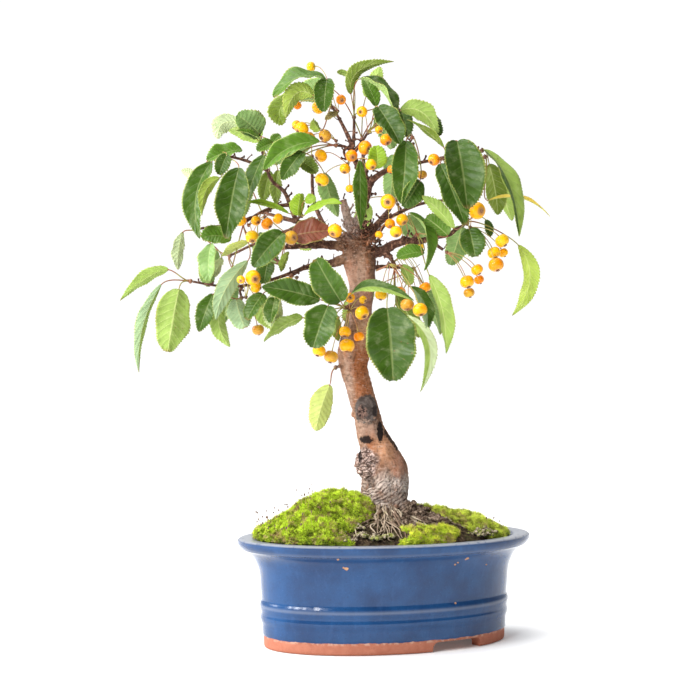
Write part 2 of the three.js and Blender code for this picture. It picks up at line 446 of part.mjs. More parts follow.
// Each spray grows from the end of the limb of its name, or of another one, in a direction (across, up, back).
const SPRAYS = {
  crown_left: {
    toward: [-0.5, 0.8, -0.4],
    leaves: [
      leaf([-24, 559, -14], [-76, 543, -32], 32, 58, [-50, 564, -24]),
      leaf([-36, 545, -26], [-64, 523, -38], 20, 140, [-54, 547, -32]),
      leaf([-56, 543, -8], [-66, 517, -2], 22, 20, [-70, 531, -4]),
      leaf([-23, 562, -22], [-26, 529, -30], 22, 10),
      leaf([-30, 510, -28], [-37, 521, -34], 12, 150),
      leaf([-12, 528, -18], [-25, 521, -24], 8, 30),
    ],
  },
  crown_top: {
    toward: [0, 0.9, -0.3],
    leaves: [
      leaf([1, 546, -8], [44, 579, -24], 16, 140, [9, 570, -18]),
      leaf([0, 563, 4], [-13, 569, 0], 8, 120),
      leaf([26, 534, 8], [13, 563, 14], 17, 30),
      leaf([10, 562, -14], [45, 521, -26], 27, 60, [33, 548, -20]),
    ],
  },
  crown_right: {
    toward: [0.6, 0.7, -0.2],
    leaves: [
      leaf([28, 534, -36], [50, 497, -50], 26, 10),
      leaf([50, 530, -20], [88, 507, -34], 21, 145, [71, 529, -28]),
      leaf([80, 524, -8], [90, 505, -8], 14, 10),
      leaf([50, 532, -2], [58, 503, -8], 17, 20),
    ],
  },
  leader_front: {
    toward: [0, 0.3, -0.95],
    leaves: [
      leaf([10, 481, -34], [11, 411, -44], 16, 15, [10, 446, -38]),
      leaf([27, 472, -20], [26, 495, -28], 21, 20),
    ],
  },
  side_left: {
    toward: [-0.9, 0.1, -0.4],
    leaves: [
      leaf([-30, 499, -30], [-86, 471, -48], 25, 35, [-62, 492, -40]),
      leaf([-47, 489, -42], [-68, 461, -54], 20, 20),
      leaf([-50, 480, -24], [-33, 468, -30], 16, 25),
    ],
  },
  left_up: {
    toward: [-0.2, 0.9, -0.3],
    leaves: [
      leaf([-110, 517, 4], [-132, 502, -6], 19, 150, [-127, 517, -2]),
      leaf([-90, 506, -4], [-113, 526, -16], 29, 25),
      leaf([-90, 501, -14], [-114, 510, -24], 10, 60),
      leaf([-78, 496, 10], [-70, 506, 8], 12, 30),
      leaf([-77, 498, -8], [-93, 490, -14], 15, 10),
      leaf([-86, 486, -22], [-106, 431, -34], 21, 18),
      leaf([-80, 470, 24], [-87, 440, 30], 17, 10),
      leaf([-72, 471, 18], [-73, 435, 22], 14, 30),
    ],
  },
  left_high: {
    toward: [-0.8, 0.2, -0.5],
    leaves: [
      leaf([-108, 491, -8], [-143, 480, -18], 22, 45),
      leaf([-123, 486, -24], [-131, 466, -30], 16, 10),
      leaf([-155, 461, 8], [-168, 471, 4], 12, 150),
      leaf([-138, 479, -22], [-150, 402, -48], 26, 15, [-154, 444, -36]),
      leaf([-130, 463, -36], [-148, 425, -52], 14, 140, [-144, 450, -44]),
      leaf([-111, 473, -42], [-124, 402, -62], 33, 10),
    ],
  },
  left_out: {
    toward: [-0.7, -0.5, -0.5],
    leaves: [
      leaf([-167, 409, -22], [-172, 371, -30], 15, 130),
      leaf([-139, 397, -32], [-141, 358, -46], 21, 25),
      leaf([-128, 383, -20], [-135, 364, -24], 11, 150),
      leaf([-119, 401, -22], [-148, 402, -30], 23, 30, [-134, 405, -26]),
    ],
  },
  left_fruit: {
    toward: [-0.3, -0.8, -0.5],
    leaves: [
      leaf([-101, 399, -28], [-129, 384, -38], 11, 140),
      leaf([-102, 380, -44], [-134, 321, -64], 20, 150, [-124, 352, -54]),
      leaf([-128, 340, -44], [-120, 294, -46], 17, 150, [-131, 316, -42]),
    ],
  },
  left_mid: {
    toward: [0.2, 0.3, -0.9],
    leaves: [
      leaf([-61, 427, -16], [-106, 438, -26], 12, 50, [-84, 436, -22]),
      leaf([-52, 425, -18], [-49, 447, -24], 18, 150),
      leaf([-45, 440, -28], [-34, 442, -30], 11, 20),
      leaf([-46, 425, -30], [-8, 437, -38], 13, 50, [-26, 437, -34]),
    ],
  },
  left_end: {
    limb: "left",
    toward: [0.2, -0.9, -0.4],
    leaves: [
      leaf([-67, 408, -44], [-97, 374, -56], 26, 15),
      leaf([-82, 379, -38], [-86, 357, -44], 20, 10),
      leaf([-61, 389, -32], [-69, 369, -34], 9, 140),
    ],
  },
  left_low: {
    toward: [-0.6, -0.7, -0.4],
    leaves: [
      leaf([-75, 343, -44], [-79, 318, -50], 17, 10),
      leaf([-76, 346, -34], [-74, 312, -38], 22, 165),
      leaf([-87, 347, -38], [-103, 321, -46], 21, 20),
    ],
  },
  left_hook: {
    toward: [0, -0.8, -0.6],
    leaves: [
      leaf([-114, 342, -42], [-105, 313, -48], 24, 150),
      leaf([-137, 347, -42], [-151, 309, -50], 19, 10),
    ],
  },
  trunk_front: {
    limb: "front_spur",
    toward: [-0.4, 0.2, -0.9],
    leaves: [
      leaf([-30, 341, -44], [-88, 354, -68], 26, 15, [-58, 349, -57]),
      leaf([-47, 323, -34], [-86, 299, -42], 18, 140, [-66, 315, -38]),
      leaf([-22, 335, -54], [-37, 293, -64], 33, 12),
      leaf([-9, 339, -48], [-34, 382, -60], 33, 10),
      leaf([-14, 326, -27], [-12, 300, -32], 16, 150),
      leaf([1, 346, -44], [64, 340, -62], 17, 55, [26, 354, -54]),
    ],
  },
  trunk_low: {
    limb: "stub",
    toward: [-0.8, -0.5, -0.4],
    leaves: [leaf([-20, 256, -16], [-34, 210, -22], 25, 150)],
  },
  right_under: {
    toward: [0.3, -0.8, -0.5],
    leaves: [
      leaf([37, 333, -72], [43, 260, -88], 50, 8),
      leaf([54, 326, -46], [70, 248, -56], 15, 140, [79, 295, -52]),
      leaf([46, 346, -34], [69, 303, -38], 19, 150),
      leaf([52, 376, -16], [61, 356, -20], 14, 150),
      leaf([60, 354, -44], [77, 309, -50], 17, 45, [75, 336, -47]),
    ],
  },
  right_mid: {
    toward: [0.1, 0.5, -0.85],
    leaves: [
      leaf([59, 428, -36], [74, 370, -52], 22, 60, [77, 405, -44]),
      leaf([98, 405, -36], [76, 423, -44], 22, 150),
      leaf([74, 389, -30], [47, 383, -32], 18, 30),
      leaf([79, 366, -40], [96, 287, -58], 22, 140, [93, 328, -50]),
    ],
  },
  right_end: {
    limb: "right",
    toward: [0.2, 0.9, 0.2],
    leaves: [
      leaf([119, 412, -38], [125, 384, -44], 26, 10),
      leaf([136, 421, -12], [140, 404, -14], 10, 30),
      leaf([168, 396, -16], [162, 325, -34], 19, 140, [180, 361, -26]),
      leaf([104, 412, -52], [72, 445, -66], 15, 140),
    ],
  },
  right_high: {
    toward: [0.1, 0.2, -0.95],
    leaves: [
      leaf([90, 477, -54], [115, 415, -70], 28, 8),
      leaf([107, 500, -62], [117, 432, -82], 41, 6),
      leaf([94, 493, -42], [57, 521, -52], 14, 120),
    ],
  },
  right_far: {
    toward: [0.6, 0.5, -0.5],
    leaves: [
      leaf([134, 491, -52], [169, 404, -78], 28, 50, [159, 457, -66]),
      leaf([139, 477, -34], [148, 426, -38], 23, 150),
    ],
  },
  right_top: {
    toward: [0.1, 0.8, -0.6],
    leaves: [
      leaf([56, 500, -34], [51, 437, -50], 28, 10),
      leaf([70, 460, -42], [53, 434, -48], 23, 15),
    ],
  },
  far_left: {
    toward: [-0.95, 0.1, -0.3],
    leaves: [
      leaf([-181, 371, -46], [-230, 340, -54], 15, 145, [-203, 363, -50]),
      leaf([-188, 357, -50], [-211, 268, -62], 13, 140, [-207, 315, -56]),
      leaf([-171, 352, -60], [-182, 289, -74], 36, 165),
    ],
  },
  back_right: {
    toward: [0.1, 0.4, 0.9],
    leaves: [
      leaf([44, 486, 76], [40, 440, 92], 26, 170),
      leaf([52, 420, 96], [80, 400, 108], 28, 150),
      leaf([16, 440, 92], [4, 400, 104], 24, 160),
    ],
  },
  back_right_far: {
    toward: [0.5, 0.2, 0.8],
    leaves: [
      leaf([104, 486, 66], [116, 440, 82], 36, 170),
      leaf([142, 470, 56], [162, 420, 68], 24, 160),
      leaf([112, 414, 74], [100, 376, 84], 26, 172),
    ],
  },
  back_left: {
    toward: [-0.3, 0.2, 0.9],
    leaves: [
      leaf([-108, 466, 82], [-118, 416, 98], 34, 168),
      leaf([-64, 408, 84], [-38, 392, 96], 26, 150),
      leaf([-92, 406, 90], [-72, 378, 104], 24, 160),
    ],
  },
  back_left_low: {
    toward: [-0.6, -0.2, 0.7],
    leaves: [
      leaf([-138, 392, 62], [-142, 354, 72], 24, 165),
      leaf([-116, 364, 74], [-126, 318, 84], 24, 165),
      leaf([-96, 346, 60], [-74, 312, 66], 24, 170),
    ],
  },
  back_left_high: {
    toward: [-0.2, 0.4, 0.9],
    leaves: [
      leaf([-40, 498, 72], [-82, 478, 86], 26, 150),
      leaf([-88, 504, 54], [-124, 514, 62], 26, 160),
      leaf([-26, 468, 78], [-12, 424, 92], 20, 160),
    ],
  },
  back_low: {
    toward: [0.3, -0.3, 0.9],
    leaves: [
      leaf([42, 326, 74], [44, 268, 92], 44, 172),
      leaf([76, 352, 72], [90, 306, 84], 22, 160),
      leaf([22, 352, 88], [-6, 320, 96], 26, 165),
    ],
  },
  back_top: {
    toward: [0, 0.4, 0.9],
    leaves: [
      leaf([30, 526, 52], [42, 492, 62], 26, 165),
      leaf([16, 544, 44], [30, 574, 52], 20, 160),
      leaf([-20, 552, 40], [-54, 544, 50], 26, 150),
    ],
  },
};
const RED_LEAF = { limb: "left_mid", beside: [8, -4, 1], toward: [0.1, -0.3, -0.95], leaves: [
  leaf([-58, 405, -19], [-20, 410, -19], 30, 12),
] };
const YELLOW_LEAF = { limb: "right_far", beside: [3, -6, 2], toward: [0.6, -0.7, 0.1], leaves: [
  leaf([138, 440, -46], [200, 424, -52], 10, 60, [172, 442, -50]),
] };

const vector = (x, z, y) => new THREE.Vector3(x, y, z).normalize();

// Half the blade's width at a share of its length: widest below the middle, drawn out to a point.
function halfWidth(share, wide) {
  return (wide / 2) * Math.pow(Math.sin(Math.PI * Math.pow(share, 0.94)), 0.62) * (1.04 - 0.06 * share);
}

function midrib({ base, tip, middle, turn, wide }) {
  const [start, end] = [at(...base), at(...tip)];
  const chord = end.clone().sub(start);
  const along = chord.clone().normalize();
  const front = new THREE.Vector3(0, -1, 0).addScaledVector(along, along.y).normalize();
  const sky = front.clone().cross(along);
  const outward = new THREE.Vector3(Math.sign((base[0] + tip[0]) / 2) * 0.6, 0, 0.8);
  if (sky.dot(outward) < 0) sky.negate();
  const angle = THREE.MathUtils.degToRad(turn);
  const face = front.multiplyScalar(Math.cos(angle)).addScaledVector(sky, Math.sin(angle));
  const centre = start.clone().add(end).multiplyScalar(0.5);
  if (middle) centre.copy(at(...middle));
  else centre.addScaledVector(face, BLADE_ARCH * chord.length());
  const control = centre.multiplyScalar(2).addScaledVector(start, -0.5).addScaledVector(end, -0.5);
  return { curve: new THREE.QuadraticBezierCurve3(start, control, end), face, wide };
}

// A leaf on its stalk. The stalk leaves the spur and bends over; the blade is two halves that meet at the midrib,
// with a toothed edge and an even thickness.
function leafOn(spur, toward, { curve, face, wide }) {
  const length = curve.getLength();
  const start = curve.getPoint(0);
  const reach = spur.distanceTo(start);
  const bend = spur.clone().addScaledVector(toward, Math.min(9, reach * 0.4));
  const approach = start.clone().addScaledVector(curve.getTangent(0), -reach * 0.25);
  const path = new THREE.CubicBezierCurve3(start, approach, bend, spur).getPoints(STALK.steps);
  const back = ringsAlong(path, path.map(() => STALK.radius), 3, { normal: face });
  const rings = back.reverse().map(([a, b, c]) => [a, c, b]);
  const steps = length > LONG_BLADE ? 6 : length < SHORT_BLADE ? 3 : 4;
  for (let i = 1; i < steps; i++) {
    const share = i / steps;
    const along = curve.getTangent(share);
    const up = face.clone().addScaledVector(along, -face.dot(along)).normalize();
    const side = along.clone().cross(up);
    const tooth = i % 2 ? 1 + TOOTH : 1 - TOOTH;
    const half = halfWidth(share, wide) * tooth;
    const edge = curve.getPoint(share).addScaledVector(along, i % 2 ? TOOTH_LEAN * length : 0);
    edge.addScaledVector(up, half * Math.sin(BLADE_FOLD));
    const corner = (across, level) => {
      const from = across ? edge : curve.getPoint(share);
      const point = from.clone().addScaledVector(up, (level * BLADE_THICK) / 2);
      return point.addScaledVector(side, across * half * Math.cos(BLADE_FOLD));
    };
    rings.push([corner(0, 1), corner(1, 1), corner(1, -1), corner(0, -1), corner(-1, -1), corner(-1, 1)]);
  }
  rings.push([curve.getPoint(1)]);
  return skinOf(rings, { slanted: [2, 3], meets: [0, 1, 1, 1, 2, 2] });
}

function limbEnd(name) {
  const [points, , radius] = LIMBS[name];
  const [before, end] = points.slice(-2).map((p) => at(...p));
  return { end, along: end.clone().sub(before).normalize(), radius };
}

function spurOf(name, { limb = name, beside = [0, 0, 0] }) {
  const { end, along } = limbEnd(limb);
  const [x, z, y] = beside;
  return end.clone().addScaledVector(along, SPUR_KNOB + CLEARANCE).add(new THREE.Vector3(x, y, z));
}

function spray(name, plan) {
  const spur = spurOf(name, plan);
  const toward = vector(...plan.toward);
  const ribs = plan.leaves.map(midrib);
  return joined([knob(spur, SPUR_KNOB), ...ribs.map((rib) => leafOn(spur, toward, rib))]);
}

// ---- Fruit --------------------------------------------------------------------------------------------------

// Bunches hang beside a limb's end, off by (across, up, back). A fruit is its middle (across, up, back), then
// its radius.
const BUNCHES = {
  crown_left: {
    beside: [4.5, -3, 4],
    fruits: [[-32, 533, 4, 6.5], [-9, 541, -14, 5], [-39, 574, 8, 5], [-53, 536, 8, 5]],
  },
  crown_right: { beside: [0, -2, -6], fruits: [[12, 529, -15, 5.5], [29, 511, -16, 4], [36, 501, -26, 6]] },
  side_left: {
    beside: [0, 5, 3],
    fruits: [[-53, 515, -10, 5.5], [-48, 512, -22, 7], [-40, 503, -10, 6], [-25, 505, -14, 6.5]],
  },
  leader: {
    limb: "leader_stub",
    beside: [0, -2.6, -1],
    fruits: [
      [1.5, 485, -20, 6], [15, 493, -22, 7], [-5, 472, -16, 5.5], [0, 452, -14, 4.5], [21, 476, -42, 5.5],
      [-29, 485, -16, 6.5], [-28, 461, -20, 7],
    ],
  },
  right_top: { beside: [1, -6, 1], fruits: [[42, 471, -26, 5], [72, 466, -20, 5]] },
  right_high: { beside: [-1, -5.2, -1], fruits: [[84, 481, -48, 6]] },
  right_end: {
    limb: "right",
    beside: [3, -4, -3],
    fruits: [[127, 430, -34, 8.5], [152, 400, -34, 7], [144, 388, -38, 6.5], [153, 388, -26, 5], [146, 376, -50, 7.5]],
  },
  right_low: {
    beside: [2, -1.5, 0],
    fruits: [[127, 371, -28, 6], [117, 359, -36, 7], [129, 361, -18, 5], [119, 348, -24, 5.5]],
  },
  right_under: {
    beside: [-5, 0, -5],
    fruits: [[31, 346, -30, 6], [57, 336, -58, 6.5], [70, 331, -66, 7], [75, 353, -28, 6]],
  },
  junction_right: {
    beside: [1.5, 1.5, -1.5],
    fruits: [[38, 439, -34, 7.5], [52, 421, -34, 6], [40, 417, -40, 5], [46, 409, -46, 6], [29, 406, -30, 4]],
  },
  junction_front: { beside: [-1, 0, -2.2], fruits: [[-15, 410, -36, 7]] },
  trunk_front: {
    limb: "front_spur",
    beside: [4.5, -2.5, 0.5],
    fruits: [
      [0, 343, -26, 5], [13, 341, -28, 4], [12, 328, -36, 7], [-5, 309, -34, 6], [-3, 295, -38, 7.5],
      [9, 304, -26, 5.5], [-31, 290, -46, 6.5], [-19, 284, -38, 7],
    ],
  },
  left_end: { limb: "left", beside: [5, 1, 0], fruits: [[-59, 403, -34, 7]] },
  left_hook: {
    beside: [4.4, 0.4, 0],
    fruits: [[-97, 363, -54, 7.5], [-94, 354, -37, 6], [-109, 361, -62, 4], [-92, 311, -28, 6]],
  },
  left_fruit: {
    beside: [4.5, -2.5, -1],
    fruits: [[-110, 421, -22, 6.5], [-94, 420, -22, 5], [-83, 417, -22, 6], [-72, 422, -18, 5.5], [-98, 404, -38, 6.5]],
  },
  left_low: { beside: [5, -2, 0], fruits: [[-62, 358, -40, 6]] },
  back_right: { beside: [1, -5, 0], fruits: [[60, 398, 84, 6.5], [68, 394, 76, 6], [54, 386, 80, 6.5]] },
  back_left: { beside: [2, -5, 0], fruits: [[-80, 400, 80, 6.5], [-98, 404, 78, 6]] },
  back_low: { beside: [-5, -4, -2], fruits: [[58, 336, 56, 6.5], [50, 349, 54, 6]] },
};

// A fruit on its pedicel, which leaves the hub upward and bends over; the calyx end looks away from it.
function fruitOn(hub, [x, z, y, radius]) {
  const centre = at(x, z, y);
  const reach = hub.distanceTo(centre);
  const away = centre.clone().sub(hub).normalize();
  const axis = away.clone().add(new THREE.Vector3(0, 0, -0.9)).normalize();
  const top = centre.clone().addScaledVector(axis, -radius * 0.86);
  const leave = away.clone().add(new THREE.Vector3(0, 0, 0.5)).normalize();
  const [first, near] = [hub.clone().addScaledVector(leave, reach * 0.3), top.clone().addScaledVector(axis, -reach * 0.25)];
  const path = new THREE.CubicBezierCurve3(hub, first, near, top).getPoints(PEDICEL.steps);
  const radii = path.map(() => PEDICEL.radius);
  const sides = path.map(() => 3);
  for (const [along, wide] of [...FRUIT, [CALYX_END, 0]]) {
    path.push(centre.clone().addScaledVector(axis, along * radius));
    radii.push(wide * radius);
    sides.push(wide ? 6 : 1);
  }
  return skinOf(ringsAlong(path, radii, sides));
}

function bunch(name, { limb = name, beside, fruits }) {
  const { end, along } = limbEnd(limb);
  const [x, z, y] = beside;
  const hub = end.clone().addScaledVector(along, BUNCH_KNOB + CLEARANCE).add(new THREE.Vector3(x, y, z));
  return joined([knob(hub, BUNCH_KNOB), ...fruits.map((fruit) => fruitOn(hub, fruit))]);
}

// ---- The whole plant ----------------------------------------------------------------------------------------

const group = new THREE.Group();
const add = (name, solid, look) => group.add(meshOf(name, solid, look));

add("pot", pot(), COLOURS.glaze);
drainPlaces().forEach((place, i) => add(`drain_screen_${i + 1}`, drainScreen(place), COLOURS.screen));

const woodRoom = wood(CLEARANCE + 0.2);
const screenRoom = drainPlaces().map((place) => drainScreen(place, 2 * CLEARANCE));
add("soil", soil(joined([woodRoom, ...screenRoom])), COLOURS.soil);
for (const [name, plan] of Object.entries(MOSS)) add(name, mossCushion(plan, woodRoom), COLOURS.moss);
add("tree_wood", wood(), COLOURS.bark);

for (const [name, plan] of Object.entries(SPRAYS)) add(`leaves_${name}`, spray(name, plan), COLOURS.leaf);
add("leaf_red", spray("leaf_red", RED_LEAF), COLOURS.redLeaf);
add("leaf_yellow", spray("leaf_yellow", YELLOW_LEAF), COLOURS.yellowLeaf);
for (const [name, plan] of Object.entries(BUNCHES)) add(`fruit_${name}`, bunch(name, plan), COLOURS.fruit);

// The origin goes to the middle of the plant's outer box, on the table.
const middle = new THREE.Box3().setFromObject(group).getCenter(new THREE.Vector3());
group.children.forEach((mesh) => mesh.geometry.translate(-middle.x, -middle.y, 0));

export default group;
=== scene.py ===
"""A crabapple bonsai in fruit: its glazed pot, moss, wood, leaves and fruit, and the light they stand in.

Lengths are in millimetres. A place is given as it reads from the front: across, up, and back from the trunk.
It goes to metres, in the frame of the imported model, when a piece is made.
"""

import logging
from collections.abc import Callable, Sequence
from dataclasses import dataclass, field
from enum import Enum
from math import copysign, cos, exp, hypot, pi, radians, sin, sqrt, tau
from random import Random

import bpy
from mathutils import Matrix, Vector, noise


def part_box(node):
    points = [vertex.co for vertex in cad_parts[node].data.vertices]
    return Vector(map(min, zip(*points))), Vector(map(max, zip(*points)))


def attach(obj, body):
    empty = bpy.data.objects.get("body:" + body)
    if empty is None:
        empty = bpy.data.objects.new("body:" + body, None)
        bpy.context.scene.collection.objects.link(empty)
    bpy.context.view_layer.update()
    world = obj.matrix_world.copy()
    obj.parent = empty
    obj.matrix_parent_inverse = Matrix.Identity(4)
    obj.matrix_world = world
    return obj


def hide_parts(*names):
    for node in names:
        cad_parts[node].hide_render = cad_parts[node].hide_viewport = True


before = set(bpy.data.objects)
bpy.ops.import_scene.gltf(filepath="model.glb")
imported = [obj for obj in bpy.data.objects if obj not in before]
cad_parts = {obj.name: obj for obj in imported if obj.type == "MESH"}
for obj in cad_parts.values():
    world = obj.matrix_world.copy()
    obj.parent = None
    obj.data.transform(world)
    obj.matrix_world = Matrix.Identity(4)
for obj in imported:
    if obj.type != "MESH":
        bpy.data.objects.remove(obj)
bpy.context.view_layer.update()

BODY = "root"
MM = 0.001
EYE_AHEAD = 1500.0  # how far before the trunk the eye is
EYE_HEIGHT = 291.0
POT_MIDDLE = (36.0, 0.0)
UP = Vector((0, 0, 1))
WHITE = (1, 1, 1)
log = logging.getLogger("bonsai")

Pair = tuple[float, float]
Place = Colour = tuple[float, float, float]
Material, Object, Mesh = bpy.types.Material, bpy.types.Object, bpy.types.Mesh


def pot_shift() -> Vector:
    """How far the plant is moved on the table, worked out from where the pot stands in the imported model."""
    low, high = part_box("pot")
    middle = (low + high) / (2 * MM)
    return Vector((middle.x - POT_MIDDLE[0], middle.y - POT_MIDDLE[1], 0))


SHIFT = pot_shift()


def at(x: float, z: float, y: float) -> Vector:
    """The point that reads as x across and z up from the eye.

    Args:
        x: Millimetres across, to the right.
        z: Millimetres up from the table.
        y: Millimetres back from the plane of the trunk.

    Returns:
        The point in space, before the plant is moved on the table.
    """
    spread = (EYE_AHEAD + y) / EYE_AHEAD
    return Vector((x * spread, y, EYE_HEIGHT + (z - EYE_HEIGHT) * spread))


def ray(angle: float, z: float = 0.0) -> Vector:
    """The way that an angle round the upright axis points, at a height."""
    return Vector((cos(angle), sin(angle), z))


def lerp(a: float, b: float, share: float) -> float:
    """The number that lies at a share of the way from a to b."""
    return a + (b - a) * share


def blend(a: Sequence[float], b: Sequence[float], share: float) -> Colour:
    """The colour that lies at a share of the way from a to b."""
    return tuple(lerp(p, q, share) for p, q in zip(a, b))


def bezier(points: Sequence[Vector], share: float) -> Vector:
    """A point on a Bezier curve.

    Args:
        points: The curve's control points, as many as it needs.
        share: How far along it the point is, from 0 to 1.

    Returns:
        The point.
    """
    line = list(points)
    while len(line) > 1:
        line = [p.lerp(q, share) for p, q in zip(line, line[1:])]
    return line[0]


def smooth_path(points: Sequence[Vector], spacing: float) -> list[Vector]:
    """A centripetal curve through points.

    Args:
        points: The points that it passes through.
        spacing: About how far apart the points of the result are.

    Returns:
        Points along the curve, from the first to the last.
    """
    ends = [points[0] * 2 - points[1], *points, points[-1] * 2 - points[-2]]
    path = []
    for a, b, c, d in zip(ends, ends[1:], ends[2:], ends[3:]):
        before, own, after = (max((q - p).length, 1e-4) ** 0.5 for p, q in ((a, b), (b, c), (c, d)))
        leave = ((b - a) / before - (c - a) / (before + own) + (c - b) / own) * own
        arrive = ((c - b) / own - (d - b) / (own + after) + (d - c) / after) * own
        count = max(1, round((c - b).length / spacing))
        for i in range(count):
            s = i / count
            path.append(
                b * (2 * s**3 - 3 * s**2 + 1)
                + leave * (s**3 - 2 * s**2 + s)
                + c * (3 * s**2 - 2 * s**3)
                + arrive * (s**3 - s**2)
            )
    return [*path, points[-1].copy()]


def rings_along(
    path: Sequence[Vector],
    radius: Callable[[float], float],
    sides: int,
    shape: Callable[[float, float], float] = lambda share, angle: 1.0,
) -> list[list[Vector]]:
    """Round rings that follow a path without twisting.

    Args:
        path: The middle of each ring.
        radius: The radius at a share of the path.
        sides: How many points a ring has.
        shape: What the radius is multiplied by, at a share of the path and an angle round it.

    Returns:
        The rings, each counter-clockwise seen against the way that they run.
    """
    last = len(path) - 1
    first = (path[1] - path[0]).normalized()
    up = UP.copy() if abs(first.z) < 0.9 else Vector((0, -1, 0))
    rings = []
    for i, point in enumerate(path):
        along = (path[min(i + 1, last)] - path[max(i - 1, 0)]).normalized()
        up = (up - along * up.dot(along)).normalized()
        side = along.cross(up)
        ring = []
        for j in range(sides):
            angle = tau * j / sides
            r = radius(i / last) * shape(i / last, angle)
            ring.append(point + up * (r * cos(angle)) + side * (r * sin(angle)))
        rings.append(ring)
    return rings


@dataclass
class Draft:
    """Points and faces in millimetres, each point with a tone and a place on the map, to be made a mesh."""

    points: list[Vector] = field(default_factory=list)
    faces: list[tuple[int, ...]] = field(default_factory=list)
    marks: list[int] = field(default_factory=list)
    tones: list[Colour] = field(default_factory=list)
    places: list[Pair] = field(default_factory=list)

    def add(
        self, points: Sequence[Vector], tone: Colour = WHITE, places: Sequence[Pair] = ()
    ) -> int:
        """Adds points.

        Args:
            points: The points.
            tone: The colour of them all.
            places: The place of each on the map.

        Returns:
            The number of the first.
        """
        start = len(self.points)
        self.points.extend(points)
        self.tones.extend([tone] * len(points))
        self.places.extend(places or [(0.0, 0.0)] * len(points))
        return start

    def face(self, corners: Sequence[int], mark: int = 0) -> None:
        """Adds a face with the finish of that number."""
        self.faces.append(tuple(corners))
        self.marks.append(mark)

    def skin(
        self, rings: Sequence[Sequence[Vector]], mark: int = 0, tone: Colour = WHITE, along: bool = False
    ) -> None:
        """A closed skin over rings that all have as many points.

        Args:
            rings: The rings, each counter-clockwise seen against the way that they run.
            mark: The number of the skin's finish.
            tone: The colour of its points.
            along: Whether the map's second axis runs with the rings.
        """
        sides = len(rings[0])
        last = len(rings) - 1
        starts = [
            self.add(ring, tone, [(j / sides, i / last if along else 0.0) for j in range(sides)])
            for i, ring in enumerate(rings)
        ]
        for a, b in zip(starts, starts[1:]):
            for j in range(sides):
                k = (j + 1) % sides
                self.face((a + j, a + k, b + k, b + j), mark)
        self.face([starts[0] + j for j in reversed(range(sides))], mark)
        self.face([starts[-1] + j for j in range(sides)], mark)

    def tube(
        self, points: Sequence[Vector], radii: Pair, sides: int, spacing: float = 3.0, mark: int = 0
    ) -> None:
        """A tube along a smooth curve through points.

        Args:
            points: The points that it passes through.
            radii: Its radius at each end, between which it runs evenly.
            sides: How many sides it has.
            spacing: About how far apart its rings are.
            mark: The number of its finish.
        """
        path = smooth_path(points, spacing)
        self.skin(rings_along(path, lambda s: lerp(*radii, s), sides), mark, along=True)

    def lump(self, centre: Vector, half: Place, detail: int, mark: int = 0, rough: float = 0.0) -> None:
        """A rounded lump.

        Args:
            centre: Its middle.
            half: Its half sizes across, back and up.
            detail: How many rings it has from pole to pole, and half as many sides again.
            mark: The number of its finish.
            rough: How uneven it is, as a share of its size.
        """
        radii = Vector(half)
        sides = detail * 3 // 2
        rings = []
        for i in range(1, detail):
            polar = pi * (1 - i / detail)
            ring = []
            for j in range(sides):
                angle = tau * j / sides
                flat = sin(polar)
                out = Vector((flat * cos(angle), flat * sin(angle), cos(polar)))
                bump = 1 + rough * noise.noise(out * 2.2 + centre * 0.7)
                ring.append(centre + Vector(a * b * bump for a, b in zip(out, radii)))
            rings.append(ring)
        poles = [centre - UP * radii.z, centre + UP * radii.z]
        low = self.add(poles[:1])
        starts = [self.add(ring) for ring in rings]
        high = self.add(poles[1:])
        for j in range(sides):
            k = (j + 1) % sides
            self.face((low, starts[0] + k, starts[0] + j), mark)
            self.face((high, starts[-1] + j, starts[-1] + k), mark)
            for a, b in zip(starts, starts[1:]):
                self.face((a + j, a + k, b + k, b + j), mark)

    def mesh(self, name: str) -> Mesh:
        """The draft as a smooth mesh in metres, with its tones, its map and its marks.

        Args:
            name: The mesh's name.

        Returns:
            The mesh, which has no finishes yet.
        """
        mesh = bpy.data.meshes.new(name)
        mesh.from_pydata([(p + SHIFT) * MM for p in self.points], [], self.faces)
        mesh.polygons.foreach_set("material_index", self.marks)
        mesh.polygons.foreach_set("use_smooth", [True] * len(self.faces))
        tone = mesh.attributes.new("tone", "FLOAT_COLOR", "POINT")
        tone.data.foreach_set("color", [c for colour in self.tones for c in (*colour, 1.0)])
        layer = mesh.uv_layers.new(name="map")
        corners = [0] * len(mesh.loops)
        mesh.loops.foreach_get("vertex_index", corners)
        layer.uv.foreach_set("vector", [c for i in corners for c in self.places[i]])
        mesh.update()
        return mesh

    def piece(self, name: str, *finishes: Material) -> Object:
        """The draft as an object at the origin, with finishes in the order of its marks."""
        mesh = self.mesh(name)
        for finish in finishes:
            mesh.materials.append(finish)
        return show(mesh)


def show(data: bpy.types.ID, name: str = "") -> Object:
    """A new object at the origin that shows a mesh, a light or a camera, by its name or another."""
    obj = bpy.data.objects.new(name or data.name, data)
    bpy.context.scene.collection.objects.link(obj)
    return obj


def modify(obj: Object, kind: str, **settings: object) -> None:
    """Gives an object a modifier with these settings."""
    modifier = obj.modifiers.new(kind.lower(), kind)
    for name, value in settings.items():
        setattr(modifier, name, value)


def dress(mesh: Mesh, finish: Material) -> None:
    """Gives a mesh one finish in place of those that it has."""
    mesh.materials.clear()
    mesh.materials.append(finish)


def apply_modifiers(obj: Object) -> None:
    """Gives an object the mesh that its modifiers make, and takes the modifiers away."""
    depsgraph = bpy.context.evaluated_depsgraph_get()
    mesh = bpy.data.meshes.new_from_object(obj.evaluated_get(depsgraph))
    obj.modifiers.clear()
    obj.data = mesh


